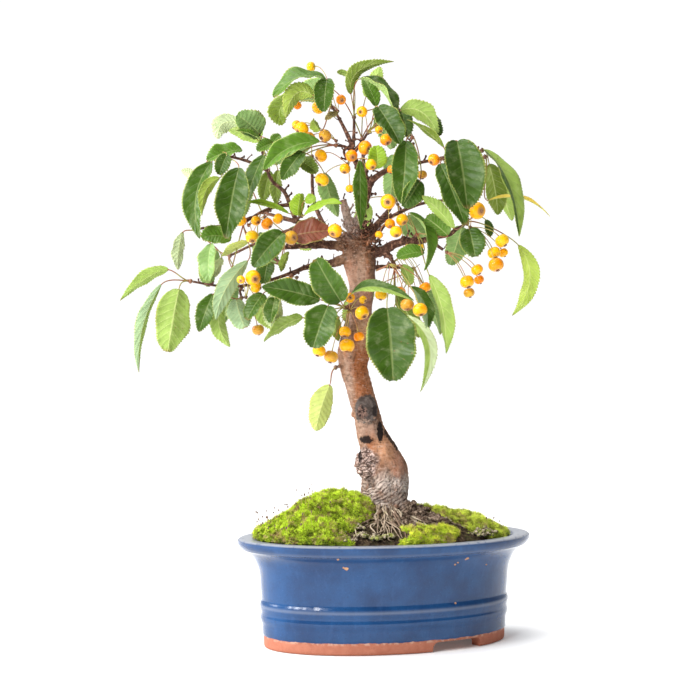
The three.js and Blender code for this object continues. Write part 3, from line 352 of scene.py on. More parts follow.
def settle(obj: Object, nodes: Sequence[str] = ()) -> Object:
    """Fixes a piece to the plant.

    Args:
        obj: The finished piece.
        nodes: The solids that it stands for.

    Returns:
        The piece.
    """
    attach(obj, BODY)
    if nodes:
        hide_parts(*nodes)
    log.info("%s: %d faces", obj.name, len(obj.data.polygons))
    return obj


# ---- Nodes ----


class Sock:
    """A node's output that plain arithmetic works on, number by number or vector by vector."""

    def __init__(self, tree: bpy.types.NodeTree, socket: bpy.types.NodeSocket | None = None) -> None:
        """Wraps an output of a tree, or the tree alone."""
        self.tree = tree
        self.socket = socket

    def make(
        self, kind: str, inputs: "dict[str | int, Value] | None" = None, out: str | int = 0, **settings: str
    ) -> "Sock":
        """Makes any node in the same tree.

        Args:
            kind: The node's type.
            inputs: What goes into its sockets, by name or number: an output, or a plain value.
            out: The output that is wanted.
            **settings: The node's own settings.

        Returns:
            That output.
        """
        node = self.tree.nodes.new(kind)
        for name, value in settings.items():
            setattr(node, name, value)
        for name, value in (inputs or {}).items():
            if isinstance(value, Sock):
                self.tree.links.new(value.socket, node.inputs[name])
            else:
                node.inputs[name].default_value = value
        return Sock(self.tree, node.outputs[out])

    def calc(self, operation: str, *values: "Value", out: int = 0) -> "Sock":
        """A Math node, or a Vector Math node where one of the values is a vector.

        Args:
            operation: What it does.
            *values: What it works on.
            out: The output that is wanted.

        Returns:
            That output.
        """
        vector = any(
            value.socket.type in ("VECTOR", "RGBA") if isinstance(value, Sock) else isinstance(value, tuple)
            for value in values
        )
        if not vector:
            return self.make("ShaderNodeMath", dict(enumerate(values)), operation=operation)
        spread = [(value,) * 3 if isinstance(value, (int, float)) else value for value in values]
        return self.make("ShaderNodeVectorMath", dict(enumerate(spread)), out, operation=operation)

    def __add__(self, other: "Value") -> "Sock":
        """The sum."""
        return self.calc("ADD", self, other)

    def __sub__(self, other: "Value") -> "Sock":
        """The difference."""
        return self.calc("SUBTRACT", self, other)

    def __rsub__(self, other: "Value") -> "Sock":
        """The difference, the other way round."""
        return self.calc("SUBTRACT", other, self)

    def __mul__(self, other: "Value") -> "Sock":
        """The product."""
        return self.calc("MULTIPLY", self, other)

    def __truediv__(self, other: "Value") -> "Sock":
        """The quotient."""
        return self.calc("DIVIDE", self, other)

    def part(self, axis: int) -> "Sock":
        """One number of a vector."""
        return self.make("ShaderNodeSeparateXYZ", {0: self}, axis)

    def size(self) -> "Sock":
        """The length of a vector."""
        return self.calc("LENGTH", self, out=1)

    def of(self, operation: str, *others: "Value") -> "Sock":
        """A function of this number, such as its SINE, or of it and others, such as their MAXIMUM."""
        return self.calc(operation, self, *others)

    def ease(self, low: float, high: float, start: float = 0.0, end: float = 1.0) -> "Sock":
        """Runs smoothly from start to end as the number goes from low to high."""
        values = dict(enumerate((self, low, high, start, end)))
        return self.make("ShaderNodeMapRange", values, interpolation_type="SMOOTHSTEP")

    def mix(self, other: "Value", share: "Value") -> "Sock":
        """This colour with a share of another laid over it."""
        colour = (*other, 1.0) if isinstance(other, tuple) else other
        return self.make("ShaderNodeMix", {0: share, 6: self, 7: colour}, 2, data_type="RGBA")


Value = Sock | float | Sequence[float]


class Paint:
    """A material in the making. Its coordinates are the piece's own, in millimetres."""

    def __init__(self, name: str, **even: float | Colour) -> None:
        """Starts a material whose shader has these even values, by the names of its sockets."""
        self.material = bpy.data.materials.new(name)
        self.material.use_nodes = True
        tree = self.material.node_tree
        self.shader = tree.nodes["Principled BSDF"]
        self.tree = tree
        self.start = Sock(tree)
        for socket, value in even.items():
            self.shader.inputs[socket.replace("_", " ")].default_value = value
        self.place = self.start.make("ShaderNodeTexCoord", out="Object") / MM

    def noise(
        self, size: float, detail: float = 3.0, stretch: Colour = WHITE, roughness: float = 0.55
    ) -> Sock:
        """Clouds from 0 to 1.

        Args:
            size: How large they are, in millimetres.
            detail: How many finer layers they have.
            stretch: How much larger they are along each axis.
            roughness: How strong the finer layers are.

        Returns:
            The number at each point.
        """
        place = self.place / tuple(size * s for s in stretch)
        values = {"Vector": place, "Scale": 1.0, "Detail": detail, "Roughness": roughness}
        return self.start.make("ShaderNodeTexNoise", values)

    def cells(
        self, size: float, feature: str = "F1", stretch: Colour = WHITE, place: Sock | None = None
    ) -> Sock:
        """The distance to the nearest of scattered points, or to the edge between two.

        Args:
            size: How far apart the points are, in millimetres.
            feature: What the distance is to, by the node's own name for it.
            stretch: How much further apart they are along each axis.
            place: Where the points are looked up, where it isn't the piece's own coordinates.

        Returns:
            The distance, as a share of the size.
        """
        place = (place or self.place) / tuple(size * s for s in stretch)
        return self.start.make("ShaderNodeTexVoronoi", {"Vector": place, "Scale": 1.0}, feature=feature)

    def spot(self, centre: Vector, radii: Place, edge: float, ragged: float, grain: float) -> Sock:
        """A ragged patch: 1 within, 0 outside.

        Args:
            centre: Its middle, before the plant is moved on the table.
            radii: Its half sizes across, back and up.
            edge: How soft its edge is, as a share of its size.
            ragged: How far the edge wanders, as a share of its size.
            grain: The size of the wandering, in millimetres.

        Returns:
            The share of the patch at each point.
        """
        offset = (self.place - tuple(centre + SHIFT)) / tuple(radii)
        wander = (self.noise(grain) - 0.5) * (2 * ragged)
        return (offset.size() + wander).ease(1 + edge, 1 - edge)

    def between(self, low: Colour, high: Colour, share: Sock) -> Sock:
        """A colour that runs from one to another with a share."""
        values = {0: share, 6: (*low, 1.0), 7: (*high, 1.0)}
        return self.start.make("ShaderNodeMix", values, 2, data_type="RGBA")

    def tone(self) -> Sock:
        """The colour that each point was given."""
        return self.start.make("ShaderNodeAttribute", out="Color", attribute_name="tone")

    def map(self) -> Sock:
        """The place on the piece's map."""
        return self.start.make("ShaderNodeUVMap", uv_map="map")

    def matt(self, size: float, low: float, high: float) -> Sock:
        """A roughness that clouds of a size run between two numbers."""
        return self.noise(size).ease(0, 1, low, high)

    def finish(
        self, colour: Sock, roughness: Sock | None = None, bump: Sock | None = None, depth: float = 0.5
    ) -> Material:
        """Ends the material.

        Args:
            colour: The base colour.
            roughness: The roughness, where it varies.
            bump: The relief, from 0 to 1.
            depth: How deep the relief is, in millimetres.

        Returns:
            The material.
        """
        links = self.tree.links
        links.new(colour.socket, self.shader.inputs["Base Color"])
        if roughness is not None:
            links.new(roughness.socket, self.shader.inputs["Roughness"])
        if bump is not None:
            values = {"Height": bump, "Strength": 1.0, "Distance": depth * MM}
            normal = self.start.make("ShaderNodeBump", values)
            links.new(normal.socket, self.shader.inputs["Normal"])
        return self.material


class Tree:
    """A Geometry Nodes tree in the making, with named inputs."""

    def __init__(self, name: str, *inputs: str) -> None:
        """Starts a tree that takes a mesh and numbers of these names."""
        self.group = bpy.data.node_groups.new(name, "GeometryNodeTree")
        face = self.group.interface
        face.new_socket(name="Geometry", in_out="INPUT", socket_type="NodeSocketGeometry")
        for label in inputs:
            face.new_socket(name=label, in_out="INPUT", socket_type="NodeSocketFloat")
        face.new_socket(name="Geometry", in_out="OUTPUT", socket_type="NodeSocketGeometry")
        self.start = Sock(self.group)
        self.entry = self.group.nodes.new("NodeGroupInput")

    def input(self, name: str) -> Sock:
        """One of the tree's named inputs."""
        return Sock(self.group, self.entry.outputs[name])

    def random(self, low: Place, high: Place, seed: int) -> Sock:
        """A random vector for each point, with a fixed seed."""
        values = {0: low, 1: high, "Seed": seed}
        return self.start.make("FunctionNodeRandomValue", values, data_type="FLOAT_VECTOR")

    def scatter(
        self, sprig: Sock, density: Sock, turn: tuple[Place, Place], scale: Sock, seed: int
    ) -> Sock:
        """Strews copies over the mesh that comes in, standing on it.

        Args:
            sprig: What is copied.
            density: How many stand on a square metre.
            turn: The least and the greatest turn about each axis, in radians.
            scale: The size of each copy.
            seed: What fixes the places.

        Returns:
            The copies, realized.
        """
        values = {"Mesh": self.input("Geometry"), "Density": density, "Seed": seed}
        points = self.start.make("GeometryNodeDistributePointsOnFaces", values)
        upright = Sock(self.group, points.socket.node.outputs["Rotation"])
        values = {0: upright, 1: self.random(*turn, seed + 1)}
        turned = self.start.make("FunctionNodeRotateRotation", values, rotation_space="LOCAL")
        values = {"Points": points, "Instance": sprig, "Rotation": turned, "Scale": scale}
        copies = self.start.make("GeometryNodeInstanceOnPoints", values)
        return self.start.make("GeometryNodeRealizeInstances", {0: copies})

    def run(
        self, result: Sock, source: Object, finish: Material, values: dict[str, float], name: str
    ) -> Object:
        """Ends the tree, runs it on a mesh and gives what it makes as a new piece.

        Args:
            result: What the tree makes.
            source: The object that has the mesh.
            finish: The material of the result.
            values: The tree's inputs by name.
            name: The new piece's name.

        Returns:
            The new piece, a plain mesh.
        """
        dressed = self.start.make("GeometryNodeSetMaterial", {"Geometry": result, "Material": finish})
        way_out = self.group.nodes.new("NodeGroupOutput")
        self.group.links.new(dressed.socket, way_out.inputs[0])
        carrier = show(source.data, name)
        modifier = carrier.modifiers.new(name, "NODES")
        modifier.node_group = self.group
        for item in self.group.interface.items_tree:
            if item.in_out == "INPUT" and item.name in values:
                modifier[item.identifier] = values[item.name]
        apply_modifiers(carrier)
        return carrier


# ---- The pot ----

POT_FOOT = (124.0, 69.5)
POT_TURN = 0.29


def oval_point(angle: float, out: float, z: float) -> Vector:
    """A point of the pot's oval that stands out by a distance from the foot's outline."""
    x, y = (POT_FOOT[0] + out) * cos(angle), (POT_FOOT[1] + out) * sin(angle)
    c, s = cos(POT_TURN), sin(POT_TURN)
    return Vector((x * c - y * s + POT_MIDDLE[0], x * s + y * c + POT_MIDDLE[1], z))


def oval_share(x: float, y: float, out: float) -> float:
    """Where a place is on the oval: 0 in the middle, 1 on an outline that stands out by a distance."""
    c, s = cos(POT_TURN), sin(POT_TURN)
    dx, dy = x - POT_MIDDLE[0], y - POT_MIDDLE[1]
    return hypot((dx * c + dy * s) / (POT_FOOT[0] + out), (dy * c - dx * s) / (POT_FOOT[1] + out))


@dataclass(frozen=True)
class Glaze:
    """A mottled cobalt glaze over red clay, worn at the edges, with small chips."""

    deep: Colour = (0.0075, 0.034, 0.107)
    bright: Colour = (0.012, 0.06, 0.174)
    milky: Colour = (0.07, 0.17, 0.42)
    clay: Colour = (0.31, 0.09, 0.052)
    chip: Colour = (0.5, 0.27, 0.15)
    line: float = 11.6  # the height at which the glaze ends
    chips: tuple[tuple[Place, float], ...] = (
        ((-3.5, 72.5, -80), 2.0), ((-6.5, 73.5, -80), 1.0), ((-12, 83, -80), 1.2), ((106, 74, -70), 1.1),
        ((109, 76, -70), 1.0), ((119, 80, -70), 1.5), ((117, 79, -70), 1.0), ((107, 34, -70), 1.2),
        ((139, 72, -60), 1.0),
    )  # the middle and the size of each

    def material(self) -> Material:
        """The pot's finish."""
        paint = Paint("glaze", Coat_Roughness=0.05, Specular_IOR_Level=0.2, Coat_Weight=0.3)
        clouds = paint.noise(38, 3)
        drips = paint.noise(6, 3, (1, 1, 5))
        flecks = paint.noise(1.9, 4, roughness=0.8)
        colour = paint.between(self.deep, self.bright, clouds.ease(0.3, 0.7))
        colour = colour.mix(self.milky, drips.ease(0.5, 0.85) * 0.12)
        colour = colour.mix(self.milky, flecks.ease(0.56, 0.8) * 0.3)
        colour = colour.mix((0.01, 0.02, 0.05), flecks.ease(0.46, 0.28) * 0.6)
        height = paint.place.part(2)
        rim = height.ease(104.2, 106.2) * paint.noise(7, 4).ease(0.15, 0.5)
        ridge = height.ease(38.0, 40.6) * height.ease(44.0, 41.0)
        worn = rim.of("MAXIMUM", ridge * 0.3)
        colour = colour.mix((0.32, 0.33, 0.36), worn * 0.75)
        colour = colour.mix((0.13, 0.15, 0.2), height.ease(99.5, 97.0) * height.ease(92.0, 96.0) * 0.3)
        bare = (height + (paint.noise(9, 4) - 0.5) * 3.4).ease(self.line + 0.35, self.line - 0.35)
        clay = paint.between(self.clay, (0.5, 0.2, 0.125), paint.noise(6, 5))
        clay = clay.mix((0.2, 0.08, 0.05), flecks.ease(0.56, 0.7) * 0.5)
        clay = clay.mix((0.3, 0.1, 0.055), height.ease(3.0, 0.0) * 0.6)
        clay = clay.mix((0.62, 0.4, 0.3), height.ease(8.5, 11.0) * paint.noise(5, 4).ease(0.45, 0.62) * 0.7)
        colour = colour.mix(clay, bare)
        marks = None
        for place, size in self.chips:
            spot = paint.spot(at(*place), (size, 50, size * 0.8), 0.2, 0.5, 1.4)
            marks = marks.of("MAXIMUM", spot) if marks else spot
        colour = colour.mix(self.chip, marks)
        dull = marks.of("MAXIMUM", bare)
        roughness = dull.ease(0, 1, 0.17, 0.8) + worn * 0.16 + flecks.ease(0.5, 0.8) * 0.08
        paint.tree.links.new(dull.ease(0, 1, 0.3, 0.0).socket, paint.shader.inputs["Coat Weight"])
        relief = clouds * 0.5 + drips * 0.2 + flecks * 0.1 - marks * 0.8 + paint.noise(0.9) * bare * 0.3
        return paint.finish(colour, roughness, relief, 0.7)


@dataclass
class Pot:
    """The oval pot: a foot parted by two slots, a beaded wall and a wide rim."""

    sides: int = 176
    foot_ring: float = 12.0  # the width of the ring that the pot stands on
    underside: float = 9.5
    floor: float = 18.0
    sway: float = 0.45  # how far the wall strays from a true oval
    slot_middle: float = -1.12  # an angle round the oval, in radians
    slot_size: Place = (56.0, 9.4, 6.0)  # width, height, corner
    drain: Pair = (62.0, 8.0)  # distance from the middle, radius
    runs: tuple[tuple[Pair, ...], ...] = (
        # distance out from the foot's outline, height; each run is smooth in itself
        ((-1.5, 0), (-0.4, 0.5), (0, 1.6), (0.2, 11)),
        ((1.2, 12.4), (1.5, 18), (1.9, 23.5), (3.0, 26.4), (3.5, 29.5), (3.0, 32.4), (2.8, 34.6), (3.4, 37),
         (4.2, 40.5), (3.7, 43.6), (2.5, 46.4)),
        ((2.5, 47.4), (3.4, 58), (4.6, 72.5), (7, 80.5), (11, 88), (18, 94.3), (22.2, 96.3)),
        ((22.4, 96.6), (24.6, 99.2), (26.1, 102.6), (25.8, 104.9), (24, 106.2), (20, 106.4), (14, 106.2),
         (9.6, 105.4), (6.8, 102.6), (2, 92)),
        ((1.6, 90), (-4.5, 66), (-6, 30), (-8.4, 18.6), (-9.4, 18)),
    )

    def profile(self) -> list[Pair]:
        """The wall's outline from the foot up over the rim and down to the floor inside."""
        points = []
        for run in self.runs:
            path = smooth_path([Vector((out, 0, z)) for out, z in run], 1.6)
            points += [(p.x, p.z) for p in path]
        return points

    def body(self) -> Object:
        """The pot before its slots and drain holes are cut."""
        draft = Draft()
        ring_out, low = -self.foot_ring, self.underside
        under = [(ring_out - 30, low), (ring_out - 1.6, low), (ring_out - 0.5, low - 1), (ring_out, 0.6),
                 (ring_out + 0.6, 0)]
        inside = [(-40, self.floor), (-60, self.floor)]
        rings = []
        for out, z in [*under, *self.profile(), *inside]:
            ring = []
            for j in range(self.sides):
                angle = tau * j / self.sides
                point = oval_point(angle, out, z)
                spot = Vector((cos(angle) * 1.7, sin(angle) * 1.7, z * 0.022))
                sway = noise.noise(spot) * self.sway if z > 12.5 else 0
                ring.append(point + (point - oval_point(angle, out - 1, z)) * sway)
            rings.append(ring)
        draft.skin(rings)
        return draft.piece("pot_body")

    def slot(self, middle: float) -> Object:
        """The solid that cuts one slot through the foot.

        Args:
            middle: The angle of its middle, round the foot.

        Returns:
            The solid.
        """
        width, height, corner = self.slot_size
        outline = [(-width / 2, -2.0)]
        for side in (-1, 1):
            for i in range(7):
                turn = pi / 12 * i
                angle = turn if side < 0 else pi / 2 - turn
                x = side * (width / 2 - corner + corner * cos(angle))
                outline.append((x, height - corner + corner * sin(angle)))
        outline.append((width / 2, -2.0))
        outer, inner = oval_point(middle, 8, 0), oval_point(middle, -self.foot_ring - 12, 0)
        across = UP.cross(inner - outer).normalized()
        rings = [[end + across * x + UP * z for x, z in reversed(outline)] for end in (outer, inner)]
        draft = Draft()
        draft.skin(rings)
        return draft.piece("slot_cutter")

    def drain_hole(self, side: int) -> Object:
        """The solid that cuts one drain hole.

        Args:
            side: 1 for the right one, -1 for the left.

        Returns:
            The solid.
        """
        middle = oval_point(0 if side > 0 else pi, self.drain[0] - POT_FOOT[0], 0)
        draft = Draft()
        path = [middle + UP * z for z in (self.underside - 4, self.floor + 4)]
        draft.skin(rings_along(path, lambda s: self.drain[1], 28))
        return draft.piece("drain_cutter")

    def build(self) -> Object:
        """The finished pot."""
        pot = self.body()
        cutters = [self.slot(self.slot_middle + turn) for turn in (0, pi)]
        cutters += [self.drain_hole(side) for side in (-1, 1)]
        for cutter in cutters:
            modify(pot, "BOOLEAN", operation="DIFFERENCE", solver="EXACT", object=cutter)
        apply_modifiers(pot)
        for cutter in cutters:
            bpy.data.objects.remove(cutter)
        pot.name = "glazed_pot"
        dress(pot.data, Glaze().material())
        pot.data.shade_smooth()
        pot.data.set_sharp_from_angle(angle=radians(38))
        return settle(pot, ["pot"])


@dataclass(frozen=True)
class ScreenMesh:
    """Dark woven mesh over the drain holes."""

    dark: Colour = (0.012, 0.014, 0.016)
    light: Colour = (0.07, 0.075, 0.08)
    pitch: float = 2.0

    def material(self) -> Material:
        """The screens' finish."""
        paint = Paint("drain_mesh")
        turns = pi / self.pitch
        weave = (paint.place.part(0) * turns).of("SINE") * (paint.place.part(1) * turns).of("SINE")
        colour = paint.between(self.dark, self.light, weave.ease(-0.3, 0.6))
        return paint.finish(colour, paint.matt(4, 0.5, 0.8), weave, 0.4)


@dataclass
class DrainScreens:
    """The screens over the drain holes, which keep their own solids."""

    nodes: tuple[str, ...] = ("drain_screen_1", "drain_screen_2")

    def build(self) -> None:
        """Gives the screens their woven finish."""
        finish = ScreenMesh().material()
        for name in self.nodes:
            dress(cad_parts[name].data, finish)
            log.info("%s: dressed", name)


# ---- Soil and moss ----

SOIL_EDGE = 101.5
SOIL_STEPS = 28
SOIL_RINGS = 5


def soil_out(z: float) -> float:
    """How far the soil stands out from the foot's outline at a height."""
    return -6.6 + max(0.0, z - 62) * 0.2 + max(0.0, z - 84) * 0.1


def soil_top(x: float, y: float) -> float:
    """The height of the soil.

    Args:
        x: How far to the right.
        y: How far back.

    Returns:
        The height there.
    """
    share = min(oval_share(x, y, soil_out(SOIL_EDGE)), 1.0)
    dome = 27 * (1 - share * share) ** 0.8
    rise = 14 * exp(-((x + 26) ** 2 + (y - 4) ** 2) / 52**2) * (1 - share**4)
    return SOIL_EDGE + dome + rise


def soil_point(step: float, ring: float, lift: float = 0.0) -> Vector:
    """A place on the soil.

    Args:
        step: How many steps round it is.
        ring: How many rings out it is. Past the last ring it is up on the pot's rim.
        lift: How far above the soil it is.

    Returns:
        The place.
    """
    angle = tau * step / SOIL_STEPS
    rim = oval_point(angle, soil_out(SOIL_EDGE) - 0.8, 0)
    middle = Vector((*POT_MIDDLE, 0))
    place = middle.lerp(rim, min(ring, SOIL_RINGS) / SOIL_RINGS)
    place.z = soil_top(place.x, place.y) + lift
    if ring > SOIL_RINGS:
        place = place.lerp(oval_point(angle, 9, 106.6 + lift), ring - SOIL_RINGS)
    return place


@dataclass(frozen=True)
class Earth:
    """Dark soil with lighter crumbs."""

    name: str = "soil"
    dark: Colour = (0.02, 0.013, 0.009)
    light: Colour = (0.085, 0.058, 0.034)
    green: float = 0.25

    def material(self) -> Material:
        """The finish of the soil or of its crumbs."""
        paint = Paint(self.name, Specular_IOR_Level=0.1)
        colour = paint.between(self.dark, self.light, paint.noise(3.5, 4).ease(0.35, 0.68))
        colour = colour.mix((0.2, 0.15, 0.1), paint.cells(2.6).ease(0.22, 0.1) * 0.6)
        colour = colour.mix((0.11, 0.14, 0.025), paint.noise(9, 3).ease(0.5, 0.68) * self.green)
        return paint.finish(colour, paint.matt(2, 0.8, 1.0), paint.noise(1.1, 4), 0.7)


@dataclass
class SoilBed:
    """The domed bed of soil in the pot, with crumbs strewn where it is bare."""

    sides: int = 196
    rings: int = 64
    relief: float = 0.9
    crumbs: float = 125000.0  # on a square metre
    crumb: float = 1.4  # the size of a large one

    def top(self, x: float, y: float) -> float:
        """The height of the uneven soil at a place."""
        rough = noise.noise(Vector((x, y, 0)) * 0.3) + 0.5 * noise.noise(Vector((x, y, 9)) * 0.75)
        return soil_top(x, y) + self.relief * rough - 0.4

    def build(self) -> None:
        """Makes the bed and its crumbs."""
        draft, cover = Draft(), Draft()
        below = ((18.4, -10.5), (50, soil_out(50) - 0.4), (84, soil_out(84) - 0.8))  # height, distance out
        rings = [
            [oval_point(tau * j / self.sides, out, z) for j in range(self.sides)] for z, out in below
        ]
        for i in range(self.rings):
            share = 1 - i / self.rings
            ring = [soil_point(j * SOIL_STEPS / self.sides, share * SOIL_RINGS) for j in range(self.sides)]
            for point in ring:
                point.z = self.top(point.x, point.y)
            rings.append(ring)
        draft.skin(rings)
        bed = draft.piece("soil_bed", Earth().material())
        start, bare = len(below) * self.sides, self.bare_steps()
        for k, face in enumerate(draft.faces[:-2]):
            if min(face) >= start and k % self.sides in bare:
                cover.face(face)
        used = sorted({i for face in cover.faces for i in face})
        new = {old: i for i, old in enumerate(used)}
        cover.add([draft.points[i] for i in used])
        cover.faces = [tuple(new[i] for i in face) for face in cover.faces]
        patch = cover.piece("bare_soil")
        self.strew(patch)
        bpy.data.objects.remove(patch)
        settle(bed, ["soil"])

    def bare_steps(self) -> set[int]:
        """The steps round the bed where no cushion of moss lies."""
        low, high = (round(s * self.sides / SOIL_STEPS) for s in (19, 29.5))
        return {j % self.sides for j in range(low - 4, high)}

    def strew(self, patch: Object) -> None:
        """Strews crumbs over the bare soil.

        Args:
            patch: The soil's surface where it is bare.
        """
        tree = Tree("crumbs", "Density", "Size")
        crumb = tree.start.make("GeometryNodeMeshIcoSphere", {"Radius": 1.0, "Subdivisions": 1})
        spread = tree.random((0.35, 0.35, 0.3), (1.1, 1.25, 0.9), 4)
        scale = spread * spread * tree.input("Size")
        strewn = tree.scatter(crumb, tree.input("Density"), ((0, 0, 0), (3.1, 3.1, 3.1)), scale, 11)
        place = tree.start.make("GeometryNodeInputPosition")
        values = {"Vector": place, "Scale": 900.0, "Detail": 1.0}
        wobble = tree.start.make("ShaderNodeTexNoise", values, "Color") - (0.5, 0.5, 0.5)
        values = {"Geometry": strewn, "Offset": wobble * (0.9 * MM)}
        rough = tree.start.make("GeometryNodeSetPosition", values)
        crumb_look = Earth("crumb", (0.035, 0.022, 0.015), (0.2, 0.14, 0.09), 0.12).material()
        values = {"Density": self.crumbs, "Size": self.crumb * MM}
        settle(tree.run(rough, patch, crumb_look, values, "soil_crumbs"))


@dataclass(frozen=True)
class MossGreen:
    """Velvety moss, yellow-green at the tips and darker in the hollows: painted light on its crests and
    painted shade in its hollows, with tips partly of their own younger green.
    """

    name: str
    deep: Colour
    bright: Colour
    dead: Colour = (0.5, 0.33, 0.18)
    stem: Colour = (0.16, 0.07, 0.035)

    def material(self, tips: bool) -> Material:
        """The finish of a cushion, or of its tufts.

        Args:
            tips: Whether it is for the tufts, which are brightest at their tips.

        Returns:
            The finish.
        """
        paint = Paint(f"{self.name}_tufts" if tips else self.name, Specular_IOR_Level=0.1)
        # the cushion's heap, kept in each point's tone, paints the crests lighter and the creases darker:
        # painted light and shade
        share = paint.tone().part(0) * 0.6 + paint.noise(3.4, 4, roughness=0.8).ease(0.38, 0.62) * 0.4
        if tips:
            # each spike is lighter toward its tip: partly the moss's own young green, partly painted shade
            # low in the tuft
            share = share + paint.start.make("ShaderNodeAttribute", out="Fac", attribute_name="tip") * 0.45
        colour = paint.between(self.deep, self.bright, share.ease(0.3, 1.2))
        colour = colour.mix(tuple(c * 0.5 for c in self.deep), paint.noise(13, 4).ease(0.47, 0.36) * 0.7)
        straw = paint.noise(11, 6, roughness=0.75)
        colour = colour.mix(self.dead, straw.ease(0.51, 0.58) * paint.noise(1.8, 2).ease(0.38, 0.52) * 0.9)
        colour = colour.mix(self.stem, paint.noise(5, 5, roughness=0.8).ease(0.56, 0.61) * 0.85)
        return paint.finish(colour, paint.matt(2, 0.75, 1.0), paint.noise(0.8, 3), 0.8)


@dataclass
class MossCushion:
    """A cushion of moss over some steps round the soil and some rings out, covered in short tufts."""

    node: str
    steps: Pair
    rings: Pair
    thick: float
    green: MossGreen
    tufts: float = 300000.0  # on a square metre
    blades: int = 9
    tall: float = 4.6
    spread: float = -0.4  # how many steps further it has crept at each end
    creep: float = 0.0  # how far its inner edge has crept to the right
    ragged: float = 0.5
    lumps: float = 1.0
    seed: int = 3

    def heap(self, p: Vector) -> float:
        """How far the moss heaps up at a place: rounded clumps of two sizes with creases between."""
        wide = min(1.0, abs(noise.noise(Vector((p.x, p.y, self.seed)) * 0.075)) * 3.0)
        small = min(1.0, abs(noise.noise(Vector((p.x, p.y, 5)) * 0.2)) * 3.0)
        return 0.5 * wide + 0.35 * small + 0.3 * noise.noise(Vector((p.x, p.y, 8)) * 0.5)

    def crown(self, u: float, v: float, heap: float) -> float:
        """How thick the cushion is at a share across and along it, where it heaps up by a share."""
        rounded = max(0.0, 4 * u * (1 - u)) ** 0.3 * max(0.0, 4 * v * (1 - v)) ** (0.3 if v < 0.5 else 0.12)
        return 0.8 + rounded * max(0.3, self.thick - 3.6 + self.lumps * 8.5 * heap)

    def cushion(self) -> tuple[Draft, Draft]:
        """The closed cushion, and its upper side alone."""
        spans = ((self.steps, 12), (self.rings, 14))  # each span, and how many quads a unit of it has
        across, along = (round((high - low) * count) for (low, high), count in spans)
        layers, heaps = [[], []], []
        for i in range(across + 1):
            for j in range(along + 1):
                u, v = i / across, j / along
                step, ring = lerp(*self.steps, u), lerp(*reversed(self.rings), v)
                sway = self.ragged * (noise.noise(Vector((ring * 1.3, self.seed, u * 3))) * (1 - 2 * u) * 2)
                low = soil_point(step + sway + self.spread * (2 * u - 1), ring, 0.2)
                if self.creep:
                    low.x += self.creep * v**1.5
                    low.z = max(low.z, soil_top(low.x, low.y) + 0.2)
                layers[0].append(low)
                heaps.append(self.heap(low))
                layers[1].append(low + UP * self.crown(u, v, heaps[-1]))
        closed, top = Draft(), Draft()
        closed.add(layers[0])
        count = closed.add(layers[1])
        top.add(layers[1])
        row = along + 1
        for i in range(across):
            for j in range(along):
                a = i * row + j
                quad = (a, a + 1, a + row + 1, a + row)
                closed.face(quad)
                closed.face([k + count for k in reversed(quad)])
                top.face(quad[::-1])
        # each point's heap is kept as its tone, from which the finish paints light on the crests and shade in
        # the creases
        tones = [(heap, heap, heap) for heap in heaps]
        closed.tones, top.tones = tones * 2, tones
        edge = [i * row for i in range(across)] + [across * row + j for j in range(along)]
        edge += [i * row + along for i in range(across, 0, -1)] + list(range(along, 0, -1))
        for a, b in zip(edge, edge[1:] + edge[:1]):
            closed.face((a, b, b + count, a + count))
        return closed, top

    def tuft(self, tree: Tree) -> Sock:
        """A tuft of spikes that lean out all round, each with its height stored for its colour.

        Args:
            tree: The tree to make it in.

        Returns:
            The tuft.
        """
        make = tree.start.make
        values = {"Vertices": 3, "Radius Top": 0.0, "Radius Bottom": 0.12, "Depth": 1.0}
        spike = make("GeometryNodeMeshCone", values, fill_type="NGON")
        values = {"Geometry": spike, "Name": "tip", "Value": make("GeometryNodeInputPosition").part(2)}
        spike = make("GeometryNodeStoreNamedAttribute", values, data_type="FLOAT", domain="POINT")
        blades = make("GeometryNodeJoinGeometry")
        for k in range(self.blades):
            lean, angle = (0.25, 0.95, 0.6)[k % 3], tau * k / self.blades
            place = (0.1 * cos(angle), 0.1 * sin(angle), -0.1)
            values = {"Geometry": spike, "Translation": place, "Rotation": (0, lean, angle)}
            moved = make("GeometryNodeTransform", values)
            tree.group.links.new(moved.socket, blades.socket.node.inputs[0])
        return blades

    def build(self) -> None:
        """Makes the cushion and its tufts."""
        closed, top = self.cushion()
        body = closed.piece(f"{self.node}_cushion", self.green.material(False))
        skin = top.piece("moss_top")
        tree = Tree("tufts", "Density", "Size")
        make = tree.start.make
        values = {"Name": "tone"}
        heap = make("GeometryNodeInputNamedAttribute", values, "Attribute", data_type="FLOAT_COLOR").part(0)
        size = tree.random((0.5, 0.5, 0.5), (1.0, 1.0, 1.1), self.seed + 5) * tree.input("Size")
        turn = ((-0.4, -0.4, 0), (0.4, 0.4, tau))
        density = tree.input("Density")
        tufts = tree.scatter(self.tuft(tree), density, turn, size * (heap * 0.9 + 0.5), self.seed)
        values = {"Density": self.tufts, "Size": self.tall * MM}
        piece = tree.run(tufts, skin, self.green.material(True), values, f"{self.node}_tufts")
        bpy.data.objects.remove(skin)
        settle(piece)
        settle(body, [self.node])


